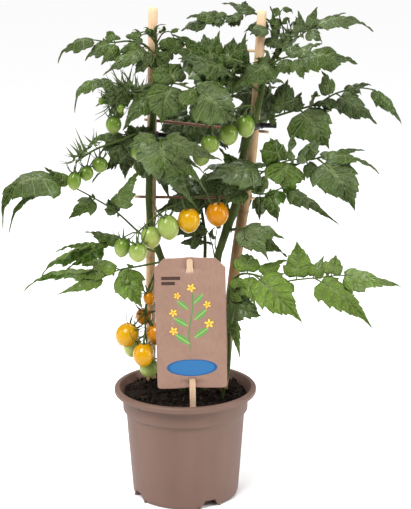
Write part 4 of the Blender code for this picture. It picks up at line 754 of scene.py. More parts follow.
# Small leaves that arch out of the tips: points of the stalk, leaflets
sprigTable = {
    "stem_left": [
        ([(-26, -10, 447), (-32, -12, 456), (-39, -14, 456), (-44, -15, 449)],
         [(1.0, (-53, -18, 442), 9, 40, 0.2, 15), (0.7, (-47, -20, 461), 7, 30, 0.2, 15),
         (0.45, (-37, -21, 463), 5, 30, 0.3, 15), (0.8, (-41, -21, 444), 8, 40, 0.2, 15)]),
        ([(-26, -10, 447), (-20, -12, 457), (-13, -13, 459), (-9, -14, 453)],
         [(1.0, (-2, -20, 438), 15, 50), (0.75, (-4, -13, 461), 8, 30, 0.2, 15),
         (0.5, (-18, -19, 464), 5, 30, 0.3, 15)]),
        ([(-26, -10, 440), (-19, -13, 445), (-15, -15, 442)], [(1.0, (-17, -22, 428), 9, 50),
         (0.8, (-6, -18, 446), 7, 40, 0.2, 12)]),
        ([(-26, -10, 448), (-27, -13, 457), (-30, -16, 461)], [(1.0, (-36, -20, 457), 5, 30, 0.4, 15),
         (0.7, (-22, -18, 462), 5, 30, 0.4, 15)])],
    "stem_right": [
        ([(95, 8, 448), (92, 6, 462), (89, 5, 473), (93, 4, 480)], [(1.0, (101, 2, 474), 8, 30, 0.3, 20),
         (0.85, (82, 2, 477), 9, 35, 0.2, 15), (0.6, (78, 2, 466), 11, 45, 0.15, 15),
         (0.5, (99, 2, 470), 8, 35, 0.2, 15)]),
        ([(96, 8, 450), (103, 6, 460), (111, 4, 463)], [(1.0, (119, 2, 457), 8, 35, 0.2, 15),
         (0.7, (104, 2, 472), 7, 30, 0.2, 15), (0.5, (107, -2, 452), 8, 45, 0.2, 15)]),
        ([(90, 4, 441), (84, -3, 453), (79, -7, 461)], [(1.0, (61, -14, 456), 14, 50),
         (0.6, (80, -14, 443), 13, 55), (0.8, (92, -10, 462), 7, 35, 0.2, 15)]),
        ([(97, 8, 450), (100, 4, 458), (98, 0, 466)], [(1.0, (92, -3, 470), 5, 30, 0.4, 15),
         (0.7, (107, -2, 466), 5, 30, 0.4, 15)]),
        ([(30, -16, 234), (27, -18, 254), (22, -17, 271)], [(1.0, (12, -20, 273), 9, 45),
         (0.8, (29, -22, 276), 6, 40)]),
        ([(33, -16, 244), (29, -19, 258), (31, -20, 274)], [(1.0, (34, -24, 284), 7, 40, 0.2, 12),
         (0.7, (23, -22, 268), 6, 40)])],
}
# Flower buds: base and direction
budTable = {
    "stem_left": [
        ((-27, -10, 456), (0.2, -0.1, 1)), ((-26, -11, 455), (-0.7, -0.4, 0.8)),
        ((-26, -10, 455), (0.9, -0.3, 0.6)), ((-27, -11, 453), (-0.3, -0.9, 0.2))],
    "stem_right": [
        ((90, 3, 441), (-0.6, -0.7, 0.2)), ((91, 3, 442), (-0.9, -0.4, 0.5)),
        ((89, 3, 439), (-0.8, -0.5, -0.1)), ((97, 8, 453), (0.2, -0.4, 1)),
        ((95, 8, 452), (-0.6, -0.5, 0.9))],
}


def stemHeap(name, tone, heights):
    points, radii = stemLines[name]
    fine = np.linspace(0, 1, len(points) * 3)
    path = np.array([along(points, share) for share in fine])
    rng = np.random.default_rng(len(name) * 7 + 1)
    swell = sum(np.exp(-((path[:, 2] - height) / stemLook["knuckleReach"]) ** 2) for height in heights)
    wobble = np.interp(fine, np.linspace(0, 1, 25), rng.uniform(-1, 1, 25))
    widths = np.interp(path[:, 2], points[:, 2], radii)
    widths = widths * (1 + stemLook["knuckle"] * swell + stemLook["unevenness"] * wobble)
    heap = Heap()
    heap.tube(path, widths, 2, (tone, 0.4, 0.0), sides=16)
    return heap, rng


def bud(heap, base, direction, size, tone, rng):
    # a closed flower bud with its sepal tips
    base, direction = np.array(base, float), unit(direction)
    side = unit(np.cross(direction, (0.3, 1, 0.1)))
    around = np.cross(side, direction)
    stalkEnd = base + direction * size * 1.6 + side * size * 0.3
    heap.tube([base, base + direction * size * 0.8, stalkEnd], (0.35, 0.3, 0.3), 2, (tone, 0.4, 0), sides=6)
    body = [stalkEnd + direction * size * s for s in (0, 0.25, 0.6, 1.0, 1.5, 2.1)]
    heap.tube(body, np.array((0.25, 0.62, 0.7, 0.5, 0.25, 0.08)) * size * 0.8, 2, (tone + 0.2, 0.4, 0))
    for turn in range(5):
        angle = turn * 2 * math.pi / 5 + rng.uniform(-0.3, 0.3)
        out = side * math.cos(angle) + around * math.sin(angle)
        path = [stalkEnd + out * size * a + direction * size * b for a, b in
                ((0.35, 0.2), (0.75, 0.9), (0.85, 1.7), (1.25, 2.2))]
        heap.tube(path, (0.3, 0.28, 0.18, 0.05), 2, (tone, 0.4, 0), sides=5, squash=0.5)


def makeStems():
    for name in stemTable:
        heights = [height for owner, height, *_ in leafTable.values() if owner == name]
        heap, rng = stemHeap(name, 0.75, heights)
        for base, direction, length, width, hook in apexTable[name]:
            # a young leaf not yet opened: a narrow blade that hooks over
            tone, lean = rng.uniform(0.3, 0.7), rng.uniform(10, 60)
            tip = np.array(base, float) + unit(direction) * length
            addBlade(heap, base, tip, width, lean, hook, 26, tone, rng)
        for points, leaflets in sprigTable[name]:
            points = smoothPath(points, 5)
            heap.tube(points, np.linspace(0.8, 0.4, len(points)), 2, (0.6, 0.4, 0), sides=7)
            addLeaflets(heap, points, leaflets, rng.uniform(0.3, 0.7), rng, tiny=False)
        for base, direction in budTable[name]:
            bud(heap, base, direction, stemLook["budSize"] * rng.uniform(0.8, 1.2), 0.6, rng)
        settle(heap.build("stalk_" + name[5:], [leafTop, leafUnder, stemGreen]), "stem", name)
    for name, (_, tone, _, leaflets) in shootTable.items():
        heap, rng = stemHeap(name, tone, [])
        addLeaflets(heap, stemLines[name][0], leaflets, tone, rng, tiny=False)
        settle(heap.build("young_" + name[6:], [leafTop, leafUnder, stemGreen]), "stem", name)


class Strewn:
    # a Geometry Nodes tree that strews small shapes over a mesh; its sizes are named inputs
    def __init__(self, name, sizes):
        self.tree = bpy.data.node_groups.new(name, "GeometryNodeTree")
        kinds = {"Geometry": "NodeSocketGeometry", **{size: "NodeSocketFloat" for size in sizes},
                 "Seed": "NodeSocketInt", "Material": "NodeSocketMaterial"}
        for label, kind in kinds.items():
            self.tree.interface.new_socket(label, in_out="INPUT", socket_type=kind)
        self.tree.interface.new_socket("Geometry", in_out="OUTPUT", socket_type="NodeSocketGeometry")
        self.inputs = self.node("NodeGroupInput").outputs

    def node(self, kind, settings=None, sockets=None):
        return addNode(self.tree, kind, settings, sockets)

    def maths(self, operation, *values):
        return self.node("ShaderNodeMath", {"operation": operation}, dict(enumerate(values))).outputs[0]

    def chance(self, low, high):
        # a random turn for two vectors, a random number for two numbers
        first, kind = (0, "FLOAT_VECTOR") if isinstance(low, tuple) else (2, "FLOAT")
        made = self.node("FunctionNodeRandomValue", {"data_type": kind}, {
            first: low, first + 1: high, "Seed": self.inputs["Seed"]})
        return made.outputs[first // 2]

    def run(self, name, source, shape, turn, size, values, follow=False, pick=False):
        # follow stands each shape off the surface, pick takes one of several shapes for each
        points = self.node("GeometryNodeDistributePointsOnFaces", {}, {
            "Mesh": self.inputs["Geometry"], "Density": self.inputs["Density"], "Seed": self.inputs["Seed"]})
        if follow:
            turn = self.node("FunctionNodeRotateRotation", {"rotation_space": "LOCAL"}, {
                0: points.outputs["Rotation"], 1: turn}).outputs[0]
        grown = self.node("GeometryNodeInstanceOnPoints", {}, {
            "Points": points.outputs[0], "Instance": shape.outputs[0], "Pick Instance": pick,
            "Rotation": turn, "Scale": size})
        real = self.node("GeometryNodeRealizeInstances", {}, {0: grown.outputs[0]})
        painted = self.node("GeometryNodeSetMaterial", {}, {
            0: real.outputs[0], "Material": self.inputs["Material"]})
        self.node("NodeGroupOutput", {}, {0: painted.outputs[0]})
        holder = addPiece(name, source)
        modifier = holder.modifiers.new("grow", "NODES")
        modifier.node_group = self.tree
        for item in self.tree.interface.items_tree:
            if item.in_out == "INPUT" and item.name in values:
                modifier[item.identifier] = values[item.name]
        return applied(holder)


def makeHairs(name, seed):
    # short tapering hairs that stand off the stem
    points, radii = stemLines[name]
    keep = points[:, 2] > stemLook["hairsAbove"]
    heap = Heap()
    heap.tube(points[keep], radii[keep] * 0.98, 0, (0, 0, 0))
    tree = Strewn("hairs", ["Density", "Length"])
    spike = tree.node("GeometryNodeMeshCone", {"fill_type": "NGON"}, {
        "Vertices": 3, "Radius Top": 0.000012, "Radius Bottom": 0.00006, "Depth": tree.inputs["Length"]})
    turn = tree.chance((-0.5, -0.5, -3.1), (0.5, 0.5, 3.1))
    settle(tree.run("hairs_" + name, surface(heap), spike, turn, tree.chance(0.45, 1.25), {
        "Density": stemLook["hairsPerSquareCm"] * 1e4, "Length": stemLook["hairLength"] * mm,
        "Seed": seed, "Material": stemHair}, follow=True), "stem")


def surface(heap):
    # the heap as a mesh to strew over
    piece = heap.build("surface", [])
    mesh = piece.data
    bpy.data.objects.remove(piece)
    return mesh


stemGreen = stalkMaterial("stemGreen", (0.014, 0.023, 0.0043), (0.061, 0.088, 0.019),
                          (0.047, 0.031, 0.017), 0.20)
stemHair = mottled("stemHair", 300.0, (0.22, 0.26, 0.14), (0.42, 0.45, 0.30), Roughness=0.6, Sheen_Weight=0.3)
makeStems()
for name, seed in (("stem_left", 3), ("stem_right", 5), ("shoot_middle", 8), ("shoot_low_right", 13)):
    makeHairs(name, seed)
print("stems made")

# Fruit: centre, half width, half height, way to the stalk, ripeness from green to orange
fruitTable = {
    "a1": ((-58, -43, 261), 7.5, 9.4, (0.2, 0.1, 1), 0.26),
    "a2": ((-43, -51, 258.5), 8.8, 9.4, (0.0, 0.2, 1), 0.34),
    "a3": ((-31.5, -38, 270), 9.6, 10.7, (-0.2, 0.2, 1), 0.4),
    "a4": ((-15, -41, 280), 10.0, 12.1, (-0.2, 0.2, 1), 0.36),
    "a5": ((4.5, -38, 286), 10.5, 11.9, (0.0, 0.2, 1), 0.83),
    "a6": ((31, -33, 291), 10.7, 11.8, (-0.1, 0.2, 1), 0.96),
    "b1": ((-100, -61, 328), 6.4, 8.7, (0.1, 0.1, 1), 0.22),
    "b2": ((-89.5, -53, 333.5), 6.5, 6.9, (0.1, 0.2, 1), 0.2),
    "b3": ((-77.5, -48, 340.5), 7.3, 7.3, (0.0, 0.2, 1), 0.18),
    "b4": ((-42, -36, 350), 7.2, 7.2, (-0.1, 0.2, 1), 0.24),
    "c1": ((-65, -36, 376), 7.3, 8.2, (0.1, 0.1, 1), 0.2),
    "e1": ((24.5, -47, 360.5), 8.7, 9.0, (-0.1, 0.2, 1), 0.22),
    "e2": ((41, -46, 368.5), 8.9, 9.8, (-0.1, 0.2, 1), 0.24),
    "e3": ((56.5, -37, 375), 8.9, 10.6, (-0.1, 0.2, 1), 0.25),
    "f1": ((-55, -35, 173), 11.0, 11.9, (0.6, 0.15, 0.8), 0.84),
    "f2": ((-39, -47, 157), 10.1, 11.3, (0.05, 0.3, 1), 0.86),
    "f3": ((-26.5, -33, 173), 9.8, 11.0, (-0.5, 0.2, 0.85), 0.98),
    "f4": ((-40, -13, 185), 7.9, 8.6, (0.2, -0.5, 0.84), 0.97),
    "f8": ((-35, -24, 136.5), 9.2, 9.7, (0.0, 0.0, 1), 0.36),
    "c2": ((-76, -30, 397), 3.0, 3.8, (0.5, 0.1, 1), 0.16),
    "c3": ((-58, -42, 392), 3.4, 4.2, (0.1, 0.4, 1), 0.16),
    "c4": ((-60, -26, 385), 4.2, 5.2, (0.1, -0.2, 1), 0.17),
    "e4": ((16, -34, 346), 8.2, 9.1, (0.1, 0.2, 1), 0.25),
    "f5": ((-34, -30, 208), 5.7, 6.7, (-0.2, 0.1, 1), 0.97),
    "f9": ((-51, -10, 153), 9.4, 10.1, (0.3, -0.1, 1), 0.44),
}
# Truss: stem and height, points of its stalk, place of each fruit on it, place and way of each flower
trussTable = {
    "a": ("stem_right", 300, [(40, -24, 307), (22, -29, 308), (4, -32, 304), (-14, -34, 297.5),
                              (-30, -37, 286.5), (-45, -42, 274)],
          {"a6": 0.22, "a5": 0.50, "a4": 0.66, "a3": 0.83, "a2": 0.97, "a1": 0.99}, []),
    "b": ("stem_left", 342, [(-42, -24, 364), (-60, -38, 361), (-78, -46, 356), (-90, -51, 350),
                             (-99, -56, 344)],
          {"b4": 0.28, "b3": 0.66, "b2": 0.82, "b1": 0.99},
          [(0.97, (-0.9, -0.2, 0.9)), (0.92, (-0.3, -0.6, 0.9)), (0.85, (-0.7, 0.3, 1.0)),
           (0.75, (-0.5, -0.5, 1.0)), (0.9, (-0.9, 0.5, 0.3))]),
    "c": ("stem_left", 384, [(-38, -22, 396), (-48, -30, 408), (-58, -34, 406), (-66, -35, 394)],
          {"c1": 0.99, "c2": 0.97, "c3": 0.72, "c4": 0.62},
          [(0.55, (-0.6, -0.5, 0.9)), (0.62, (-0.2, -0.8, 0.6)), (0.7, (-0.9, 0.2, 0.8)),
           (0.78, (-0.6, -0.6, 0.4)), (0.84, (-0.9, -0.2, 0.1)), (0.9, (-0.4, -0.8, 0.1)),
           (0.95, (0.5, -0.6, 0.3)), (0.5, (0.1, -0.7, 1.0)), (0.66, (0.5, -0.5, 0.7)),
           (0.74, (-0.3, 0.7, 0.9)), (0.4, (-0.5, -0.2, 1.1)), (0.86, (-0.8, 0.5, 0.5)),
           (0.98, (0.4, -0.5, -0.5)), (0.93, (-1.0, 0.1, -0.3))]),
    "e": ("stem_right", 380, [(64, -26, 391), (52, -34, 392), (38, -40, 386), (25, -42, 378)],
          {"e3": 0.30, "e2": 0.72, "e1": 0.99, "e4": 0.98},
          [(0.9, (-0.8, -0.2, 0.5)), (0.97, (-0.9, 0.3, 0.1)), (0.8, (-0.4, 0.5, 0.9))]),
    "f": ("stem_left", 236, [(-29, -19, 228), (-35, -23, 212), (-37, -25, 195), (-38, -28, 180),
                             (-36, -26, 154)],
          {"f5": 0.24, "f4": 0.38, "f1": 0.55, "f3": 0.55, "f2": 0.78, "f9": 0.86, "f8": 0.99}, []),
}
fruitLook = {
    "rings": 34,
    "sides": 40,
    "dimple": 0.10,              # depth of the stalk hollow, share of the half height
    "point": 0.035,
    "lobes": 0.010,
    "yellow": ("a5", "f1", "f2"),
    "orange": ("a6", "f3", "f4", "f5"),
    "sepalLength": 1.65,         # over the fruit's half width
    "sepalWidth": 3.5,
    "sepalThickness": 0.3,
    "sepalLift": 0.75,
    "stalkRadius": 1.05,
    "stalkTaper": ((0, 0.05, 0.2, 1), (1.9, 1.35, 1.1, 0.8)),
    "pedicelRadius": 0.72,
    "knuckle": 1.45,
    "flowerStalk": (4, 8),
    "flowerSize": (5.5, 9.0),
    "petalShare": 0.6,           # of the flowers that still have their cone of petals
}


def axes(direction):
    up = unit(direction)
    side = unit(np.cross(up, (0.0, 1.0, 0.0) if abs(up[1]) < 0.9 else (1.0, 0, 0)))
    return up, side, np.cross(up, side)


def makeFruit(name, centre, halfWidth, halfHeight, direction, ripe):
    look = fruitLook
    centre = np.array(centre, float)
    up, side, front = axes(direction)
    rng = np.random.default_rng(sum(ord(letter) for letter in name) * 31)
    t = np.linspace(0, math.pi, look["rings"])[:, None]
    a = np.linspace(0, 2 * math.pi, look["sides"], endpoint=False)[None, :]
    phase = rng.uniform(0, 2 * math.pi, 3)
    radius = np.sin(t) ** 0.94 * (1 - 0.09 * np.clip(-np.cos(t), 0, 1) ** 2)
    lobes = np.cos(3 * a + phase[0]) + 0.8 * np.cos(2 * a + phase[1])
    radius = radius * (1 + look["lobes"] * lobes * np.sin(t))
    height = np.cos(t) + 0 * a - look["dimple"] * np.exp(-(t / 0.34) ** 2)
    height = height + 0.02 * np.cos(5 * a + phase[2]) * np.exp(-((t - 0.5) / 0.3) ** 2)
    height = height - look["point"] * np.exp(-((math.pi - t) / 0.16) ** 2)
    x, y, z = radius * np.cos(a) * halfWidth, radius * np.sin(a) * halfWidth, height * halfHeight
    grid = centre + x[..., None] * side + y[..., None] * front + z[..., None] * up
    for pole in (0, -1):
        grid[pole] = grid[pole].mean(0)
    tones = np.stack(np.broadcast_arrays(ripe, t / math.pi, 0.5 + 0.5 * np.cos(a + phase[0])), -1)
    heap = Heap()
    heap.grid(grid, 0, tones.reshape(-1, 3), around=True, flip=True)
    # the scar where the flower sat
    foot = centre - up * halfHeight * (1 + look["point"])
    scar = [foot + up * rise for rise in (0.5, -0.1, -0.5)]
    heap.tube(scar, (0.5, 0.42, 0.12), 1, (0.3, 0.5, 0), sides=7)
    slot = "fruit_" + next((colour for colour in ("yellow", "orange") if name in look[colour]), "green")
    node = "fruit_" + name
    stoodFor = [node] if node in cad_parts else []
    settle(heap.build("tomato_" + name, [fruitSkin, scarBrown]), slot, *stoodFor)


def sepals(heap, middle, direction, reach, rng, tone=0.35, swirl=0.25):
    # the calyx: narrow pointed sepals that follow the shoulder and lift at their tips
    up, side, front = axes(direction)
    look = fruitLook
    count = 5 if reach > 5 else 6
    first = rng.uniform(0, 2 * math.pi)
    s, k = np.linspace(0, 1, 10)[:, None], np.linspace(-1, 1, 5)[None, :]
    for index in range(count):
        angle = first + (index + rng.uniform(-0.2, 0.2)) * 2 * math.pi / count
        out = side * math.cos(angle) + front * math.sin(angle)
        across = np.cross(up, out)
        length = reach * look["sepalLength"] * rng.uniform(0.8, 1.15)
        lift = look["sepalLift"] * rng.uniform(0.3, 1.7)
        width = look["sepalWidth"] * rng.uniform(0.75, 1.1) * (0.6 + reach / 22)
        swing = rng.uniform(-swirl, swirl) * length
        half = width / 2 * np.interp(s, (0, 0.15, 0.4, 0.75, 1), (0.7, 1, 0.85, 0.45, 0.03))
        spine = (middle + out * s * length + across * swing * s ** 2
                 + up * length * (-0.22 * np.sin(math.pi * s) + lift * s ** 2.2))
        grid = spine[:, None, :] + across * (k * half)[..., None] + up * (np.abs(k) * half)[..., None] * 0.35
        uv = np.stack(np.broadcast_arrays(s * 4, k * 0.5 + 0.5), -1)
        heap.plate(grid, look["sepalThickness"], (0, 0), (tone, 0.5, 0.2), uv)
    cap = [middle + up * rise for rise in (-0.4, 0.3, 1.1)]
    heap.tube(cap, (1.3, 1.5, 0.7), 1, (0.4, 0.5, 0), sides=10)


def makeTruss(name, stem, height, stalk, fruits, flowers):
    rng = np.random.default_rng(ord(name) * 11)
    look = fruitLook
    heap = Heap()
    points = stalkFrom(stem, height, stalk, look["stalkRadius"])
    radii = np.interp(np.linspace(0, 1, len(points)), *look["stalkTaper"]) * look["stalkRadius"]
    heap.tube(points, radii, 1, (0.6, 0.5, 0), sides=10)
    for fruit, share in fruits.items():
        centre, halfWidth, halfHeight, direction, _ = fruitTable[fruit]
        up = unit(direction)
        middle = np.array(centre, float) + up * halfHeight * (1 - look["dimple"] * 0.6)
        base = along(points, share)
        bend = (base + middle) / 2 + up * 2.0
        joint = base * 0.42 + bend * 0.58 + up * 0.6
        path = smoothPath([base, joint, bend, middle + up * 1.2, middle], 4)
        steps = np.linspace(0, 1, len(path))
        widths = look["pedicelRadius"] * (1 + (look["knuckle"] - 1) * np.exp(-((steps - 0.27) / 0.05) ** 2)
                                          + 0.35 * np.clip(steps - 0.75, 0, 1) * 4)
        heap.tube(path, widths * (0.75 + halfWidth / 40), 1, (0.5, 0.5, 0))
        sepals(heap, middle + up * 0.35, direction, halfWidth, rng)
    for share, direction in flowers:
        base, ahead = along(points, share), unit(direction)
        tip = base + ahead * rng.uniform(*look["flowerStalk"])
        sag = np.cross(ahead, (0.2, 1, 0.3)) * rng.uniform(-2, 2)
        heap.tube(smoothPath([base, (base + tip) / 2 + sag, tip], 4), 0.42, 1, (0.5, 0.5, 0), sides=6)
        if rng.random() < look["petalShare"]:
            heap.tube([tip, tip + ahead * 1.2, tip + ahead * 2.6], (0.9, 1.3, 0.5), 1, (0.7, 0.5, 0))
        sepals(heap, tip, direction, rng.uniform(*look["flowerSize"]), rng, 0.95, 0.7)
    settle(heap.build("cluster_" + name, [calyxGreen, stalkGreen]), "calyx", "truss_" + name)


def makeFruitSkin():
    paint = Paint("fruitSkin", Specular_IOR_Level=0.25, Specular_Tint=(1.0, 0.9, 0.5),
                  Coat_Weight=0.6, Coat_Roughness=0.07, Coat_IOR=1.32, Subsurface_Weight=0.10,
                  Subsurface_Scale=0.003, Subsurface_Radius=(1.0, 0.6, 0.2))
    ripe, down, _ = paint.tones()
    spot = paint.place()
    cloud = paint.noise(spot, 70.0, 3.0)
    streak = paint.noise(paint.stretch(spot, 0.3), 190.0, 4.0)
    dots = paint.cells(spot, 850.0)
    unripe = ripe.between(0.62, 0.40)
    level = (ripe + (down - 0.42) * 0.34 * unripe + (cloud - 0.5) * (0.05 + unripe * 0.14)
             + (streak - 0.5) * 0.05 + down.between(0.35, 0.0) * (0.04 - unripe * 0.10))
    skin = paint.ramp(level, (
        (0.0, (0.025, 0.060, 0.0050)), (0.22, (0.092, 0.160, 0.015)), (0.40, (0.232, 0.300, 0.072)),
        (0.55, (0.385, 0.398, 0.115)), (0.68, (0.470, 0.336, 0.018)), (0.82, (0.470, 0.252, 0.0008)),
        (1.0, (0.437, 0.143, 0.0000))))
    freckle = dots.between(0.16, 0.05) * cloud.between(0.35, 0.6)
    colour = paint.blend(freckle * 0.35, skin, paint.blend(0.5, skin, (0.9, 0.85, 0.5)))
    dust = paint.noise(spot, 1400.0, 3.0)
    normal = paint.bump(dots.between(0.3, 0.0) * 0.4 + cloud * 2.0 + dust * 0.2, 0.00025, 0.5)
    return paint.finish(Base_Color=colour, Roughness=0.20 + dust * 0.16 + unripe * 0.05, Normal=normal)


fruitSkin = makeFruitSkin()
scarBrown = mottled("scarBrown", 900.0, (0.10, 0.06, 0.02), (0.30, 0.22, 0.08), Roughness=0.8)
calyxGreen = stalkMaterial("calyxGreen", (0.010, 0.024, 0.0034), (0.102, 0.140, 0.051),
                           (0.085, 0.085, 0.043), 0.3)
for name, fruit in fruitTable.items():
    makeFruit(name, *fruit)
for name, truss in trussTable.items():
    makeTruss(name, *truss)
print("fruits made")

# Cane: points, radii, heights of its nodes, and its tone from light to dark up the height. The tone is
# painted shade: pale at the top above the leaves, darker lower down among and under them
caneTable = {
    "cane_left": (
        [(-34, 31, 30), (-35, 32, 104), (-34.2, 17, 190), (-33.2, 4, 262), (-32, 0, 310), (-31, 0, 365),
         (-29, 0, 480)], (4.7, 4.7, 4.7, 4.6, 4.6, 4.5, 4.4), (431, 262, 140),
        ((30, 0.5), (250, 0.5), (340, 0.55), (400, 0.25), (424, 0.35), (434, 0.0), (480, 0.0))),
    "cane_right": (
        [(28.5, 0, 30), (36, 0, 104), (48, 0, 227), (59, 0, 307), (65.5, 0, 358), (72.5, 0, 477)],
        (5.6, 5.6, 5.5, 4.9, 4.7, 4.4), (404, 286, 168),
        ((30, 0.95), (230, 0.9), (300, 0.8), (345, 0.45), (395, 0.4), (410, 0.15), (477, 0.1))),
}
# Rung: start, end, tone
rungTable = {
    "rung_top": ((-37, 0, 443), (78, 0, 439.5), 0.12),
    "rung_upper": ((-38, 0, 375), (80, 0, 363), 0.85),
    "rung_middle": ((-48, 0, 300.5), (67, 0, 299), 0.95),
}
caneLook = {
    "sides": 30,
    "nodeRise": 0.075,
    "grooveDepth": 0.03,
    "flats": 0.018,
    "pithRadius": 0.9,
    "rungRadius": 1.4,
    "rungSides": 14,
    "rungPith": 0.3,
    "rungFlats": 0.06,
}


def rod(heap, path, radii, tones, sides, hole, flats=0.0, phase=0.0):
    # a cut rod: flat ends with a small pith hollow
    ahead = headings(path)

    def cutEnd(index, inward):
        centre, way, radius, tone = path[index], ahead[index], radii[index], tones[index]
        steps = ((3.0, 0.0), (3.0, hole * 0.7), (0.1, hole), (0.0, hole * 1.3), (0.0, radius - 0.35),
                 (0.12, radius - 0.1))
        return [(centre + way * inward * depth, way, r, tone) for depth, r in steps]
    rows = cutEnd(0, 1) + list(zip(path, ahead, radii, tones))[1:-1] + cutEnd(-1, -1)[::-1]
    x, y = circle(sides)
    bulge = 1 + flats * np.cos(3 * np.arange(sides) / sides * 2 * math.pi + phase)
    side = np.cross(ahead[0], (0, 1.0, 0.001))
    grid = []
    for point, direction, radius, _ in rows:
        side = unit(side - direction * side.dot(direction))
        up = np.cross(side, direction)
        grid.append(point + (radius * bulge)[:, None] * (x * side + y * up))
    shade = np.repeat([row[3] for row in rows], sides, axis=0)
    far = max(np.linalg.norm(row[0] - path[0]) for row in rows)
    heap.grid(grid, 0, shade, u=(0, far), around=True, flip=True)


def makeCane(name, points, radii, nodes, paintedShade):
    look = caneLook
    path = smoothPath(points, 30)
    heights = path[:, 2]
    near = sum(np.exp(-((heights - node) / 1.5) ** 2) for node in nodes)
    groove = sum(np.exp(-((heights - node - 1.9) / 0.7) ** 2) for node in nodes)
    rng = np.random.default_rng(len(name))
    wobble = np.interp(heights, np.linspace(30, 480, 26), rng.uniform(-0.02, 0.02, 26))
    widths = spread(radii, 30) * (1 + look["nodeRise"] * near - look["grooveDepth"] * groove + wobble)
    # painted shade along the cane: darker lower down where the leaves shade it
    shade = np.interp(heights, *zip(*paintedShade))
    tones = np.stack([shade, np.clip(near + groove * 0.8, 0, 1), 0 * shade], -1)
    tones[[0, 1, -2, -1], 2] = 1.0        # the cut ends
    heap = Heap()
    rod(heap, path, widths, tones, look["sides"], look["pithRadius"], look["flats"], len(name))
    settle(heap.build("bamboo_" + name[5:], [bambooSkin]), "cane", name)


def makeRung(name, start, end, shade):
    look = caneLook
    rng = np.random.default_rng(len(name) + 3)
    share = np.linspace(0, 1, 40)
    path = np.array(start, float) * (1 - share[:, None]) + np.array(end, float) * share[:, None]
    path[:, 2] += np.interp(share, np.linspace(0, 1, 7), rng.uniform(-0.22, 0.22, 7))
    widths = look["rungRadius"] * (1 + np.interp(share, np.linspace(0, 1, 14), rng.uniform(-0.07, 0.03, 14)))
    tones = np.tile((shade, 0.0, 0.0), (40, 1))
    tones[[0, 1, -2, -1], 2] = 1.0
    heap = Heap()
    rod(heap, path, widths, tones, look["rungSides"], look["rungPith"], look["rungFlats"], rng.uniform(0, 6))
    settle(heap.build("crossbar_" + name[5:], [rungWood]), "rung", name)


def makeBamboo(name, ramp, speckles):
    paint = Paint(name, Specular_IOR_Level=0.3, Coat_Weight=0.08, Coat_Roughness=0.35)
    shade, node, end = paint.tones()
    spot = paint.place()
    fibre = paint.noise(paint.stretch(spot, 0.035), 900.0, 4.0, 0.6)
    band = paint.noise(paint.stretch(spot, 0.10), 160.0, 4.0)
    blot = paint.noise(spot, 60.0, 5.0, 0.62)
    pores = paint.cells(paint.stretch(spot, 0.25), 1600.0)
    # on the canes the first tone is painted shade, darker lower down where the leaves shade them
    colour = paint.ramp(shade + (fibre - 0.5) * 0.35 + (band - 0.5) * 0.30 + (blot - 0.5) * 0.35, ramp)
    for mask, tint in ((node * 0.75, (0.16, 0.075, 0.028)),
                       (blot.between(0.62, 0.72) * speckles, (0.12, 0.06, 0.03)),
                       (end * 0.8, (0.66, 0.50, 0.31)),
                       (pores.between(0.18, 0.06) * (0.25 + end * 0.5), (0.20, 0.12, 0.06))):
        colour = paint.blend(mask, colour, tint)
    height = fibre * 0.7 + band * 0.3 - pores.between(0.2, 0.05) * 0.3
    return paint.finish(Base_Color=colour, Roughness=0.42 + fibre * 0.2 + end * 0.25,
                        Normal=paint.bump(height, 0.0003, 0.6))


bambooSkin = makeBamboo("bambooSkin", ((0.0, (0.74, 0.50, 0.31)), (0.35, (0.54, 0.36, 0.19)),
                                       (0.65, (0.33, 0.195, 0.085)), (1.0, (0.185, 0.10, 0.032))), 0.35)
rungWood = makeBamboo("rungWood", ((0.0, (0.80, 0.62, 0.40)), (0.5, (0.36, 0.17, 0.09)),
                                   (1.0, (0.16, 0.062, 0.035))), 0.2)
for name, cane in caneTable.items():
    makeCane(name, *cane)
for name, rung in rungTable.items():
    makeRung(name, *rung)

# Clips: centre of the cane, centre of the stem, height, end of the grip
clipTable = {
    "clip_left": ((-31.1, 0), (-31.0, -9.2), 361.0, (-15.0, -6.0)),
    "clip_right": ((66.4, 0), (62.6, -10.4), 369.8, (87.0, -3.0)),
}
clipLook = {
    "height": 5.0,
    "wall": 1.2,
    "bore": 5.6,
    "bevel": 0.3,
    "gripRadius": 2.5,
    "ribSpacing": 2.2,
    "ribDepth": 0.28,
}


def makeClip(name, cane, stem, level, grip):
    look = clipLook
    cane, stem, far = (np.array((*spot, level), float) for spot in (cane, stem, grip))
    heading = math.atan2(*(stem - cane)[[1, 0]])
    rows = []
    for centre, start in ((cane, heading + math.pi / 2), (stem, heading - math.pi / 2)):
        for angle in start + math.pi * np.arange(25) / 24:
            rows.append((centre, np.array((math.cos(angle), math.sin(angle), 0.0))))
    rows.append(rows[0])
    half, bevel = look["height"] / 2, look["bevel"]
    inner, outer = look["bore"], look["bore"] + look["wall"]
    # the upper half of the section, and the same below it
    section = [(inner, half - bevel), (inner + bevel, half), (outer - bevel, half), (outer, half - bevel),
               (outer, 0.7), (outer + 0.25, 0.4)]
    section += [(r, -z) for r, z in section[::-1]]
    heap = Heap()
    grid = [[centre + out * r + np.array((0, 0, z)) for r, z in section] for centre, out in rows]
    heap.grid(grid, around=True)
    out = unit(far - cane)
    length = np.linalg.norm(far - cane) - outer + 0.6
    places = np.concatenate([np.linspace(0, 3.0, 5), np.linspace(3.2, length, 46)])
    ribs = look["ribDepth"] * (np.sin((places - 3.2) * 2 * math.pi / look["ribSpacing"]) > 0)
    radii = look["gripRadius"] - ribs * (places > 3.2) * (places < length - 2.5) - 0.5 * np.exp(-places)
    path = cane + out * (outer - 0.6 + places)[:, None]
    rod(heap, path, radii, np.tile((0.5, 0, 0), (len(path), 1)), 20, 1.5)
    settle(heap.build("band_" + name[5:], [clipBlack]), "clip", name)


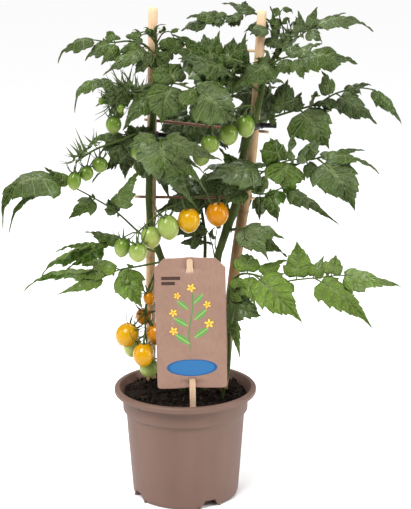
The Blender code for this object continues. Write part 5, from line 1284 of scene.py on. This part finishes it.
def makeClipBlack():
    paint = Paint("clipBlack", Specular_IOR_Level=0.45)
    spot = paint.place()
    wear = paint.noise(spot, 170.0, 5.0, 0.65)
    colour = paint.blend(wear.between(0.5, 0.75), (0.006, 0.006, 0.007), (0.030, 0.029, 0.028))
    return paint.finish(Base_Color=colour, Roughness=0.36 + wear * 0.25,
                        Normal=paint.bump(paint.noise(spot, 1100.0), 0.0001, 0.4))


clipBlack = makeClipBlack()
for name, clip in clipTable.items():
    makeClip(name, *clip)
print("ladder made")

cardLook = {
    "width": 66.5,
    "height": 130.0,
    "thickness": 0.6,
    "cornerCut": 9.5,
    "bottomRound": 3.0,
    "wave": 1.6,                 # the card passes before and behind the stick by this much
    "restWave": -0.9,            # away from the stick
    "bridge": 8.5,
    "slots": ((4.5, 10.5), (115.2, 119.4)),
    "slotWidth": 6.2,
    "warp": 0.5,
    "foot": (7.6, -51.5, 125.5),
    "leanForward": 3.4,
    "leanLeft": 1.1,
}
stickLook = {
    "width": 5.8,
    "thickness": 1.6,
    "bevel": 0.35,
    "bottom": -46.0,
    "top": 129.0,
    "roughness": 0.06,
}


def placed(points):
    # from the card's own frame, its foot at the origin, to the plant's
    look = cardLook
    forward = Matrix.Rotation(math.radians(look["leanForward"]), 4, "X")
    left = Matrix.Rotation(math.radians(-look["leanLeft"]), 4, "Y")
    matrix = np.array(Matrix.Translation(Vector(look["foot"])) @ forward @ left)
    return np.asarray(points, float) @ matrix[:3, :3].T + matrix[:3, 3]


def ease(value, low, high):
    t = np.clip((value - low) / (high - low), 0, 1)
    return t * t * (3 - 2 * t)


def makeCard():
    look = cardLook
    half, height, cut, r = look["width"] / 2, look["height"], look["cornerCut"], look["bottomRound"]
    inner = look["slotWidth"] / 2
    (low0, low1), (high0, high1) = look["slots"]
    cols = np.concatenate([np.linspace(-half, -inner, 19), np.linspace(-inner, inner, 9)[1:],
                           np.linspace(inner, half, 19)[1:]])
    rows = np.concatenate([np.linspace(0, 3, 6), [3.8], np.linspace(low0, low1, 8),
                           np.linspace(12, 111.5, 54), np.linspace(high0, high1, 8), [120.2],
                           np.linspace(height - cut, height, 9)])
    reach = np.where(rows > height - cut, half - (rows - height + cut), half)
    reach = np.where(rows < r, half - r + np.sqrt(np.clip(r * r - (r - rows) ** 2, 0, None)), reach)
    offset = look["wave"] - 2 * look["wave"] * (ease(rows, low0, low1) - ease(rows, high0, high1))
    x = cols[None, :] * (reach / half)[:, None]
    z = np.broadcast_to(rows[:, None], x.shape)
    near = np.exp(-(x / look["bridge"]) ** 2)
    y = look["restWave"] + (offset[:, None] - look["restWave"]) * near
    warp = np.sin(z / 37.0 + x / 30.0) * (1 - near) - ease(z, 118, 130) * (np.abs(x) / half) ** 2
    y = y + look["warp"] * warp
    n = len(cols)
    faces = []
    for i in range(len(rows) - 1):
        for j in range(n - 1):
            middleZ, middleX = (rows[i] + rows[i + 1]) / 2, (cols[j] + cols[j + 1]) / 2
            if abs(middleX) > inner or not any(low < middleZ < high for low, high in look["slots"]):
                faces.append([i * n + j, i * n + j + 1, (i + 1) * n + j + 1, (i + 1) * n + j])
    mesh = bpy.data.meshes.new("cardSheet")
    mesh.from_pydata((placed(np.stack([x, y, z], -1)).reshape(-1, 3) * mm).tolist(), [], faces)
    laid = np.stack([x, z], -1).reshape(-1, 2)[np.ravel(faces)]
    mesh.uv_layers.new(name="laid").data.foreach_set("uv", laid.ravel())
    for material in (cardPrint, cardEdge, cardBack):
        mesh.materials.append(material)
    mesh.shade_smooth()
    reshape(mesh, lambda shape: bmesh.ops.delete(
        shape, geom=[v for v in shape.verts if not v.link_faces], context="VERTS"))
    sheet = addPiece("printedCard", mesh)
    solid = sheet.modifiers.new("thickness", "SOLIDIFY")
    solid.thickness, solid.offset = look["thickness"] * mm, 0.0
    solid.material_offset_rim, solid.material_offset = 1, 2
    settle(applied(sheet), "card", "label_card")


def makeStick():
    look = stickLook
    half, thin, bottom, top = look["width"] / 2, look["thickness"] / 2, look["bottom"], look["top"]
    rise = np.linspace(0, math.pi / 2, 10)
    places = np.concatenate([[bottom] * 2, np.linspace(bottom + 0.4, top - half, 60),
                             top - half + half * np.sin(rise)[1:], [top]])
    reach = np.concatenate([[0.0, half - look["bevel"]], np.full(60, half), half * np.cos(rise)[1:], [0.0]])
    rng = np.random.default_rng(4)
    uneven = rng.uniform(-look["roughness"], look["roughness"], 40)
    grid = []
    for z, r, e in zip(places, reach, np.interp(places, np.linspace(bottom, top, 40), uneven)):
        w = max(r + e * (r > 1), 0.0)
        t = thin if r > 0 else 0.0
        b = min(look["bevel"], w * 0.5)
        # the front half of the section, and the same turned round behind it
        front = [(-w, b - t), (b - w, -t), (-w * 0.33, -t), (w * 0.33, -t), (w - b, -t), (w, b - t)]
        grid.append([(x, y, z) for x, y in front] + [(-x, -y, z) for x, y in front])
    heap = Heap()
    heap.grid(placed(grid), u=(0, top - bottom), around=True)
    settle(heap.build("woodenStick", [stickWood]), "stick", "label_stick")


# What is printed on the card: leaves (place, length, width, turn), flowers (place, size) and bars
printLook = {
    "leaves": ((-8.5, 50, 8.5, 3.4, 145), (9.5, 56, 8.5, 3.4, 35), (-9.5, 67, 8, 3.2, 150),
               (9.0, 74, 8, 3.1, 40), (-7.5, 84, 7, 2.8, 140), (7.5, 90, 6.5, 2.6, 45)),
    "flowers": ((-16.5, 58, 5.0), (17.0, 65, 5.4), (-16.5, 76, 4.8), (15.5, 84, 4.6), (-12.5, 93, 4.2),
                (0.8, 101, 5.0)),
    "bars": ((110.3, -27.0, -9.0), (105.3, -27.0, -14.0)),
    "board": ((0.25, (0.211, 0.123, 0.090)), (0.5, (0.254, 0.152, 0.113)), (0.75, (0.296, 0.183, 0.140))),
}


def makeCardPrint():
    look = printLook
    paint = Paint("cardPrint", Specular_IOR_Level=0.3)
    x, z = paint.uv()
    spot = paint.place()
    fibre = paint.noise(paint.stretch(spot, 0.5), 420.0, 5.0, 0.65)
    cloud = paint.noise(spot, 38.0, 4.0)
    fleck = paint.cells(paint.stretch(spot, 0.4), 560.0)
    scuff = paint.noise(paint.stretch(spot, 2.2), 120.0, 6.0, 0.7)
    ink = fibre.between(0.2, 0.45) * 0.25 + 0.75
    colour = paint.ramp(fibre * 0.55 + cloud * 0.45, look["board"])
    colour = paint.blend(fleck.between(0.15, 0.04) * 0.5, colour, (0.26, 0.13, 0.08))

    def draw(mask, tint, strength=ink):
        nonlocal colour
        colour = paint.blend(mask * strength, colour, tint)
    # a plain blue oval low down, its middle paler
    dx, dz = x / 24, (z - 21) / 8.5
    oval = (dx * dx + dz * dz) ** 0.5
    draw(oval.between(1.02, 0.98), (0.010, 0.075, 0.20))
    draw(oval.between(0.90, 0.86), (0.022, 0.125, 0.30))
    # a sprig that rises up the middle
    bend = paint.maths("SINE", z * 0.09)
    stalk = abs(x - bend * 2.2).between(0.75, 0.45) * z.between(40.0, 41.0) * z.between(99.0, 97.0)
    draw(stalk, (0.075, 0.20, 0.05))
    for cx, cz, length, width, turn in look["leaves"]:
        c, s = math.cos(math.radians(turn)), math.sin(math.radians(turn))
        dx, dz = x - cx, z - cz
        a, b = (dx * c + dz * s) / length, abs(dz * c - dx * s) / width
        mask = (a * a + b).between(1.04, 0.94)
        draw(mask, (0.10, 0.26, 0.06))
        draw(mask * b.between(0.16, 0.08), (0.35, 0.45, 0.16), 0.8)
    for cx, cz, size in look["flowers"]:
        dx, dz = x - cx, z - cz
        far = (dx * dx + dz * dz) ** 0.5
        petals = paint.maths("COSINE", paint.maths("ARCTAN2", dz, dx) * 5 + cx)
        edge = (petals * 0.28 + 0.72) * size
        draw((far - edge).between(0.35, 0.0), (0.20, 0.10, 0.02))
        draw((far - edge).between(-0.45, -0.8), (0.78, 0.50, 0.07))
        draw(far.between(1.5, 1.1), (0.70, 0.26, 0.02))
    # plain bars near the top, as wide as two lines of print
    for cz, left, right in look["bars"]:
        bar = abs(z - cz).between(1.75, 1.55) * x.between(left, left + 0.3) * x.between(right, right - 0.3)
        draw(bar, (0.045, 0.022, 0.016))
    draw(scuff.between(0.63, 0.75), (0.70, 0.50, 0.40), 0.25)
    height = fibre * 0.7 + cloud * 0.6 - fleck.between(0.2, 0.05) * 0.2
    return paint.finish(Base_Color=colour, Roughness=0.72 + fibre * 0.15,
                        Normal=paint.bump(height, 0.00025, 0.5))


def makePlain(name, ramp, scale, distance, rough, tall=1.0, **fixed):
    # fibrous stuff in a few shades
    paint = Paint(name, **fixed)
    spot = paint.stretch(paint.place(), tall)
    grain = paint.noise(spot, scale, 5.0, 0.62)
    fine = paint.noise(spot, scale * 5.5, 3.0)
    return paint.finish(Base_Color=paint.ramp(grain * 0.7 + fine * 0.3, ramp), Roughness=rough + fine * 0.15,
                        Normal=paint.bump(grain * 0.6 + fine * 0.4, distance, 0.6))


cardPrint = makeCardPrint()
cardBack = makePlain("cardBack", printLook["board"], 420.0, 0.00025, 0.72, 0.5, Specular_IOR_Level=0.3)
cardEdge = makePlain("cardEdge", ((0.3, (0.42, 0.25, 0.18)), (0.7, (0.66, 0.47, 0.36))), 700.0, 0.0002, 0.75)
stickWood = makePlain("stickWood", ((0.28, (0.34, 0.19, 0.10)), (0.45, (0.50, 0.335, 0.215)),
                                    (0.72, (0.60, 0.44, 0.31))), 420.0, 0.00025, 0.55, 0.05)
makeCard()
makeStick()
print("label made")

potLook = {
    "height": 111.0,
    "lipRadius": 70.0,
    "lipInner": 64.5,
    "skirt": 6.0,
    "collarRadius": 62.0,
    "collarBottom": 88.0,
    "bodyTop": 58.8,
    "foot": 50.0,
    "footStep": 2.6,
    "footRise": 4.0,
    "floor": 1.8,
    "wall": 1.3,
    "corners": 0.7,
    "notchBottom": 21.0,
    "notchTop": 11.0,
    "notchHeight": 8.0,
    "notchDepth": 14.0,
    "drain": 5.0,
    "notchAngles": (28.0, 118.0, 208.0, 298.0),
    "sharpFrom": 38.0,
    "sides": 144,
}


def rounded(profile, radius, steps):
    # the profile with its corners rounded
    result = [profile[0]]
    for corners in zip(profile, profile[1:], profile[2:]):
        before, corner, after = np.array(corners, float)
        first, second = before - corner, after - corner
        reach = min(radius, np.linalg.norm(first) * 0.45, np.linalg.norm(second) * 0.45)
        first, second = corner + unit(first) * reach, corner + unit(second) * reach
        for t in np.arange(steps + 1) / steps:
            result.append((1 - t) ** 2 * first + 2 * t * (1 - t) * corner + t * t * second)
    return [*result, profile[-1]]


def lathe(profile, sides):
    # a profile of radius and height, turned round Z
    angles = np.linspace(0, 2 * math.pi, sides, endpoint=False)
    return np.array([[(r * math.cos(a), r * math.sin(a), z) for a in angles] for r, z in profile])


def wedge(name, bottom, top, low, high, inner, outer, angle):
    # a block that may narrow upwards and points out from the middle at this angle
    corners = [(reach, half, height) for reach in (inner, outer)
               for half, height in ((-bottom / 2, low), (bottom / 2, low), (top / 2, high), (-top / 2, high))]
    faces = [(3, 2, 1, 0), (4, 5, 6, 7), (0, 1, 5, 4), (1, 2, 6, 5), (2, 3, 7, 6), (3, 0, 4, 7)]
    mesh = bpy.data.meshes.new(name)
    mesh.from_pydata([[c * mm for c in corner] for corner in corners], [], faces)
    reshape(mesh, lambda shape: bmesh.ops.recalc_face_normals(shape, faces=shape.faces))
    mesh.transform(Matrix.Rotation(math.radians(angle - 90), 4, "Z"))
    mesh.materials.append(potPlastic)
    return addPiece(name, mesh)


def wallInner(height):
    look = potLook
    share = (height - look["footRise"]) / (look["collarBottom"] - 2 - look["footRise"])
    foot = look["foot"] + look["footStep"]
    return foot + (look["bodyTop"] - foot) * share - look["wall"]


def makePot():
    look = potLook
    top, lip, inner, wall = look["height"], look["lipRadius"], look["lipInner"], look["wall"]
    skirt, collar, bottom = look["skirt"], look["collarRadius"], look["collarBottom"]
    body, foot, rise, notch = look["bodyTop"], look["foot"], look["footRise"], look["notchHeight"]
    under = bottom - 2
    # up the inside, over the lip, down the outside and back under the floor
    profile = [(0.0, look["floor"]), (foot - 0.6, look["floor"])]
    profile += [(wallInner(height), height) for height in (rise, 30, 58)]
    profile += [(body - wall, under - 1.4), (collar - 0.3 - wall, bottom), (collar - wall, top - skirt - 3.0),
                (inner, top - 1.0), (inner + 1.0, top), (lip - 1.2, top - 0.3), (lip, top - 1.6),
                (lip, top - skirt + 0.6), (lip - 0.6, top - skirt), (lip - wall, top - skirt),
                (lip - wall, top - 2.0), (inner + 1.8, top - 2.0), (collar + 0.6, top - skirt - 1.5),
                (collar, top - skirt - 3.0),
                (collar - 0.1, bottom + 5), (collar - 0.3, bottom), (body, under), (body - 0.45, under - 5.0)]
    profile += [(wallInner(height) + wall, height) for height in (70, 55, 40, 25, 12)]
    profile += [(foot + look["footStep"], rise), (foot + 1.6, 1.2), (foot, 0.0), (foot * 0.6, 0.0),
                (0.0, 0.0)]
    heap = Heap()
    heap.grid(lathe(rounded(profile, look["corners"], 3), look["sides"]), around=True, flip=True)
    pot = heap.build("pottedShell", [potPlastic])
    # the notches of the foot: a pocket is added inside, then the notch and its drain hole are cut
    back = foot - look["notchDepth"]
    pockets, cuts = [], []
    for index, angle in enumerate(look["notchAngles"]):
        pockets.append(wedge(f"pocket{index}", look["notchBottom"] + 4, look["notchTop"] + 4, 0.0,
                             notch + wall, back, foot + 1.2, angle))
        cuts.append(wedge(f"notch{index}", look["notchBottom"], look["notchTop"], -1.0, notch,
                          back + wall, foot + 6, angle))
        cuts.append(wedge(f"drain{index}", look["drain"], look["drain"], notch - 1, notch + wall + 1,
                          back + 5.5, back + 9.5, angle))
    for cutter in pockets + cuts:
        step = pot.modifiers.new(cutter.name, "BOOLEAN")
        step.object, step.solver = cutter, "EXACT"
        step.operation = "UNION" if cutter in pockets else "DIFFERENCE"
    pot = applied(pot)
    for cutter in pockets + cuts:
        bpy.data.objects.remove(cutter)
    pot.data.shade_smooth()
    pot.data.set_sharp_from_angle(angle=math.radians(look["sharpFrom"]))
    settle(pot, "pot", "pot")


def makePotPlastic():
    paint = Paint("potPlastic", Specular_IOR_Level=0.42)
    spot = paint.place()
    z = paint.split("ShaderNodeSeparateXYZ", spot)[2]
    cloud = paint.noise(paint.stretch(spot, 0.5), 22.0, 4.0)
    flow = paint.noise(paint.stretch(spot, 0.12), 60.0, 5.0)
    grain = paint.noise(spot, 850.0, 4.0)
    specks = paint.cells(spot, 420.0)
    scratch = paint.noise(paint.stretch(spot, 9.0, (0.3, 0.15, 0)), 26.0, 6.0, 0.72)
    colour = paint.ramp(cloud * 0.5 + flow * 0.3 + grain * 0.2, (
        (0.3, (0.113, 0.061, 0.044)), (0.5, (0.133, 0.073, 0.053)), (0.7, (0.155, 0.087, 0.063))))
    colour = paint.blend(scratch.between(0.66, 0.74) * 0.35, colour, (0.42, 0.29, 0.245))
    specks = specks.between(0.10, 0.03) * cloud.between(0.4, 0.6) * 0.6
    colour = paint.blend(specks, colour, (0.13, 0.08, 0.06))
    # painted shade in a band just under the collar, where it overhangs the body; darker at the foot; and
    # earth dust on the top of the lip; all broken up by the flow noise
    dust = (z.between(0.088, 0.086) * z.between(0.080, 0.086)).most(z.between(0.007, 0.0) * 0.7)
    dust = dust.most(z.between(0.1085, 0.1110) * 0.35) * flow.between(0.35, 0.65)
    colour = paint.blend(dust * 0.35, colour, (0.10, 0.065, 0.045))
    rough = 0.46 + cloud * 0.12 + grain * 0.08 + scratch.between(0.6, 0.75) * 0.15
    normal = paint.bump(grain * 0.35 + flow * 1.2 - scratch.between(0.64, 0.74) * 0.5, 0.0003, 0.45)
    return paint.finish(Base_Color=colour, Roughness=rough, Normal=normal)


potPlastic = makePotPlastic()
makePot()
print("pot made")

soilLook = {
    "top": 104.0,
    "slope": (1.5, 1.05, 0, -0.8, -1.6),         # rise above the top, from the middle to the wall
    "unevenness": 1.7,
    "waves": 26,
    "bottom": 12.0,
    "rings": 56,
    "sides": 150,
    "crumbDensity": 62000.0,
    "crumbSize": 0.0020,
    "crumbShapes": (((1.0, 0.8, 0.6), 0.35), ((1.5, 0.7, 0.5), 0.45),    # size, tear
                    ((0.8, 1.0, 0.9), 0.5)),
    "fibreDensity": 20000.0,
    "fibreSize": (0.0018, 0.0050),
}


def lumps(x, y, rng, waves):
    # a smooth uneven height made from a few crossing waves
    total = 0 * x
    for _ in range(waves):
        angle, length, phase = rng.uniform(0, math.pi), rng.uniform(3.5, 22), rng.uniform(0, 6.3)
        place = (x * math.cos(angle) + y * math.sin(angle)) * 2 * math.pi / length
        total = total + np.sin(place + phase) * length ** 0.6
    return total / (waves ** 0.5 * 4.5)


def makeSoil():
    look, pot = soilLook, potLook
    level = look["top"]
    edge = pot["collarRadius"] - pot["wall"] - 0.3
    radii = np.linspace(0, edge - 0.2, look["rings"])
    top = lathe([(r, 0) for r in radii], look["sides"])
    slope = np.interp(radii, (0, 30, 52, edge - 1, edge), look["slope"])[:, None]
    rough = lumps(top[..., 0], top[..., 1], np.random.default_rng(21), look["waves"])
    top[..., 2] = level + slope + look["unevenness"] * rough * np.clip((edge - radii[:, None]) / 4, 0.15, 1)
    top[0, :, 2] = top[0, :, 2].mean()
    wall = [(edge, level - 3.2), (edge - 0.5, pot["collarBottom"] + 1.0),
            (pot["bodyTop"] - pot["wall"] - 0.4, pot["collarBottom"] - 2.4), (wallInner(50) - 0.3, 50),
            (wallInner(16) - 0.3, 16), (wallInner(12) - 1.3, look["bottom"]), (0, look["bottom"])]
    heap = Heap()
    heap.grid(np.concatenate([top, lathe(wall, look["sides"])]), around=True, flip=True)
    settle(heap.build("compostBed", [peat]), "soil", "soil")
    cover = Heap()
    cover.grid(top[1:], around=True)
    return surface(cover)


def strewCrumbs(cover):
    # broken crumbs in three shapes, many small and few large
    tree = Strewn("crumbs", ["Density", "Size"])
    shapes = tree.node("GeometryNodeGeometryToInstance")
    for index, (size, tear) in enumerate(soilLook["crumbShapes"]):
        ball = tree.node("GeometryNodeMeshIcoSphere", {}, {"Radius": 1.0, "Subdivisions": 2})
        place = tree.node("GeometryNodeInputPosition").outputs[0]
        noise = tree.node("ShaderNodeTexNoise", {}, {
            "Vector": place, "Scale": 1.3 + index * 0.4, "Detail": 2.0}).outputs[0]
        scale = tree.maths("MULTIPLY_ADD", tree.maths("SUBTRACT", noise, 0.5), tear * 4, 1.0)
        torn = tree.node("ShaderNodeVectorMath", {"operation": "SCALE"}, {0: place, "Scale": scale})
        shaped = tree.node("ShaderNodeVectorMath", {"operation": "MULTIPLY"}, {0: torn.outputs[0], 1: size})
        moved = tree.node("GeometryNodeSetPosition", {}, {0: ball.outputs[0], "Position": shaped.outputs[0]})
        tree.tree.links.new(moved.outputs[0], shapes.inputs[0])
    turn = tree.chance((0, 0, 0), (6.28, 6.28, 6.28))
    grown = tree.maths("MULTIPLY_ADD", tree.maths("POWER", tree.chance(0.0, 1.0), 3.0), 1.6, 0.35)
    settle(tree.run("crumbs", cover, shapes, turn, tree.maths("MULTIPLY", grown, tree.inputs["Size"]), {
        "Density": soilLook["crumbDensity"], "Size": soilLook["crumbSize"], "Seed": 7, "Material": crumb},
        pick=True), "soil")


def strewFibres(cover):
    # short bent root and peat fibres
    tree = Strewn("fibres", ["Density"])
    arc = tree.node("GeometryNodeCurveArc", {}, {"Resolution": 7, "Radius": 1.0, "Sweep Angle": 1.3})
    shift = tree.node("GeometryNodeTransform", {}, {0: arc.outputs[0], "Translation": (-0.8, -0.5, 0.0)})
    ring = tree.node("GeometryNodeCurvePrimitiveCircle", {}, {"Resolution": 4, "Radius": 0.045})
    strand = tree.node("GeometryNodeCurveToMesh", {}, {
        0: shift.outputs[0], 1: ring.outputs[0], "Fill Caps": True})
    turn = tree.chance((-0.5, -0.5, 0), (0.5, 0.5, 6.28))
    settle(tree.run("fibres", cover, strand, turn, tree.chance(*soilLook["fibreSize"]), {
        "Density": soilLook["fibreDensity"], "Seed": 11, "Material": fibre}), "soil")


peat = makePlain("peat", ((0.30, (0.002, 0.0015, 0.001)), (0.50, (0.007, 0.0045, 0.003)),
                          (0.70, (0.022, 0.013, 0.009))), 260.0, 0.0009, 0.88, Specular_IOR_Level=0.15)
crumb = makePlain("crumb", ((0.25, (0.002, 0.0015, 0.001)), (0.50, (0.007, 0.004, 0.0022)),
                            (0.76, (0.052, 0.028, 0.014))), 330.0, 0.0004, 0.88, Specular_IOR_Level=0.15)
fibre = makePlain("fibre", ((0.30, (0.05, 0.026, 0.013)), (0.70, (0.20, 0.12, 0.06))), 500.0, 0.0002, 0.8)
cover = makeSoil()
strewCrumbs(cover.copy())
strewFibres(cover)
print("compost made")
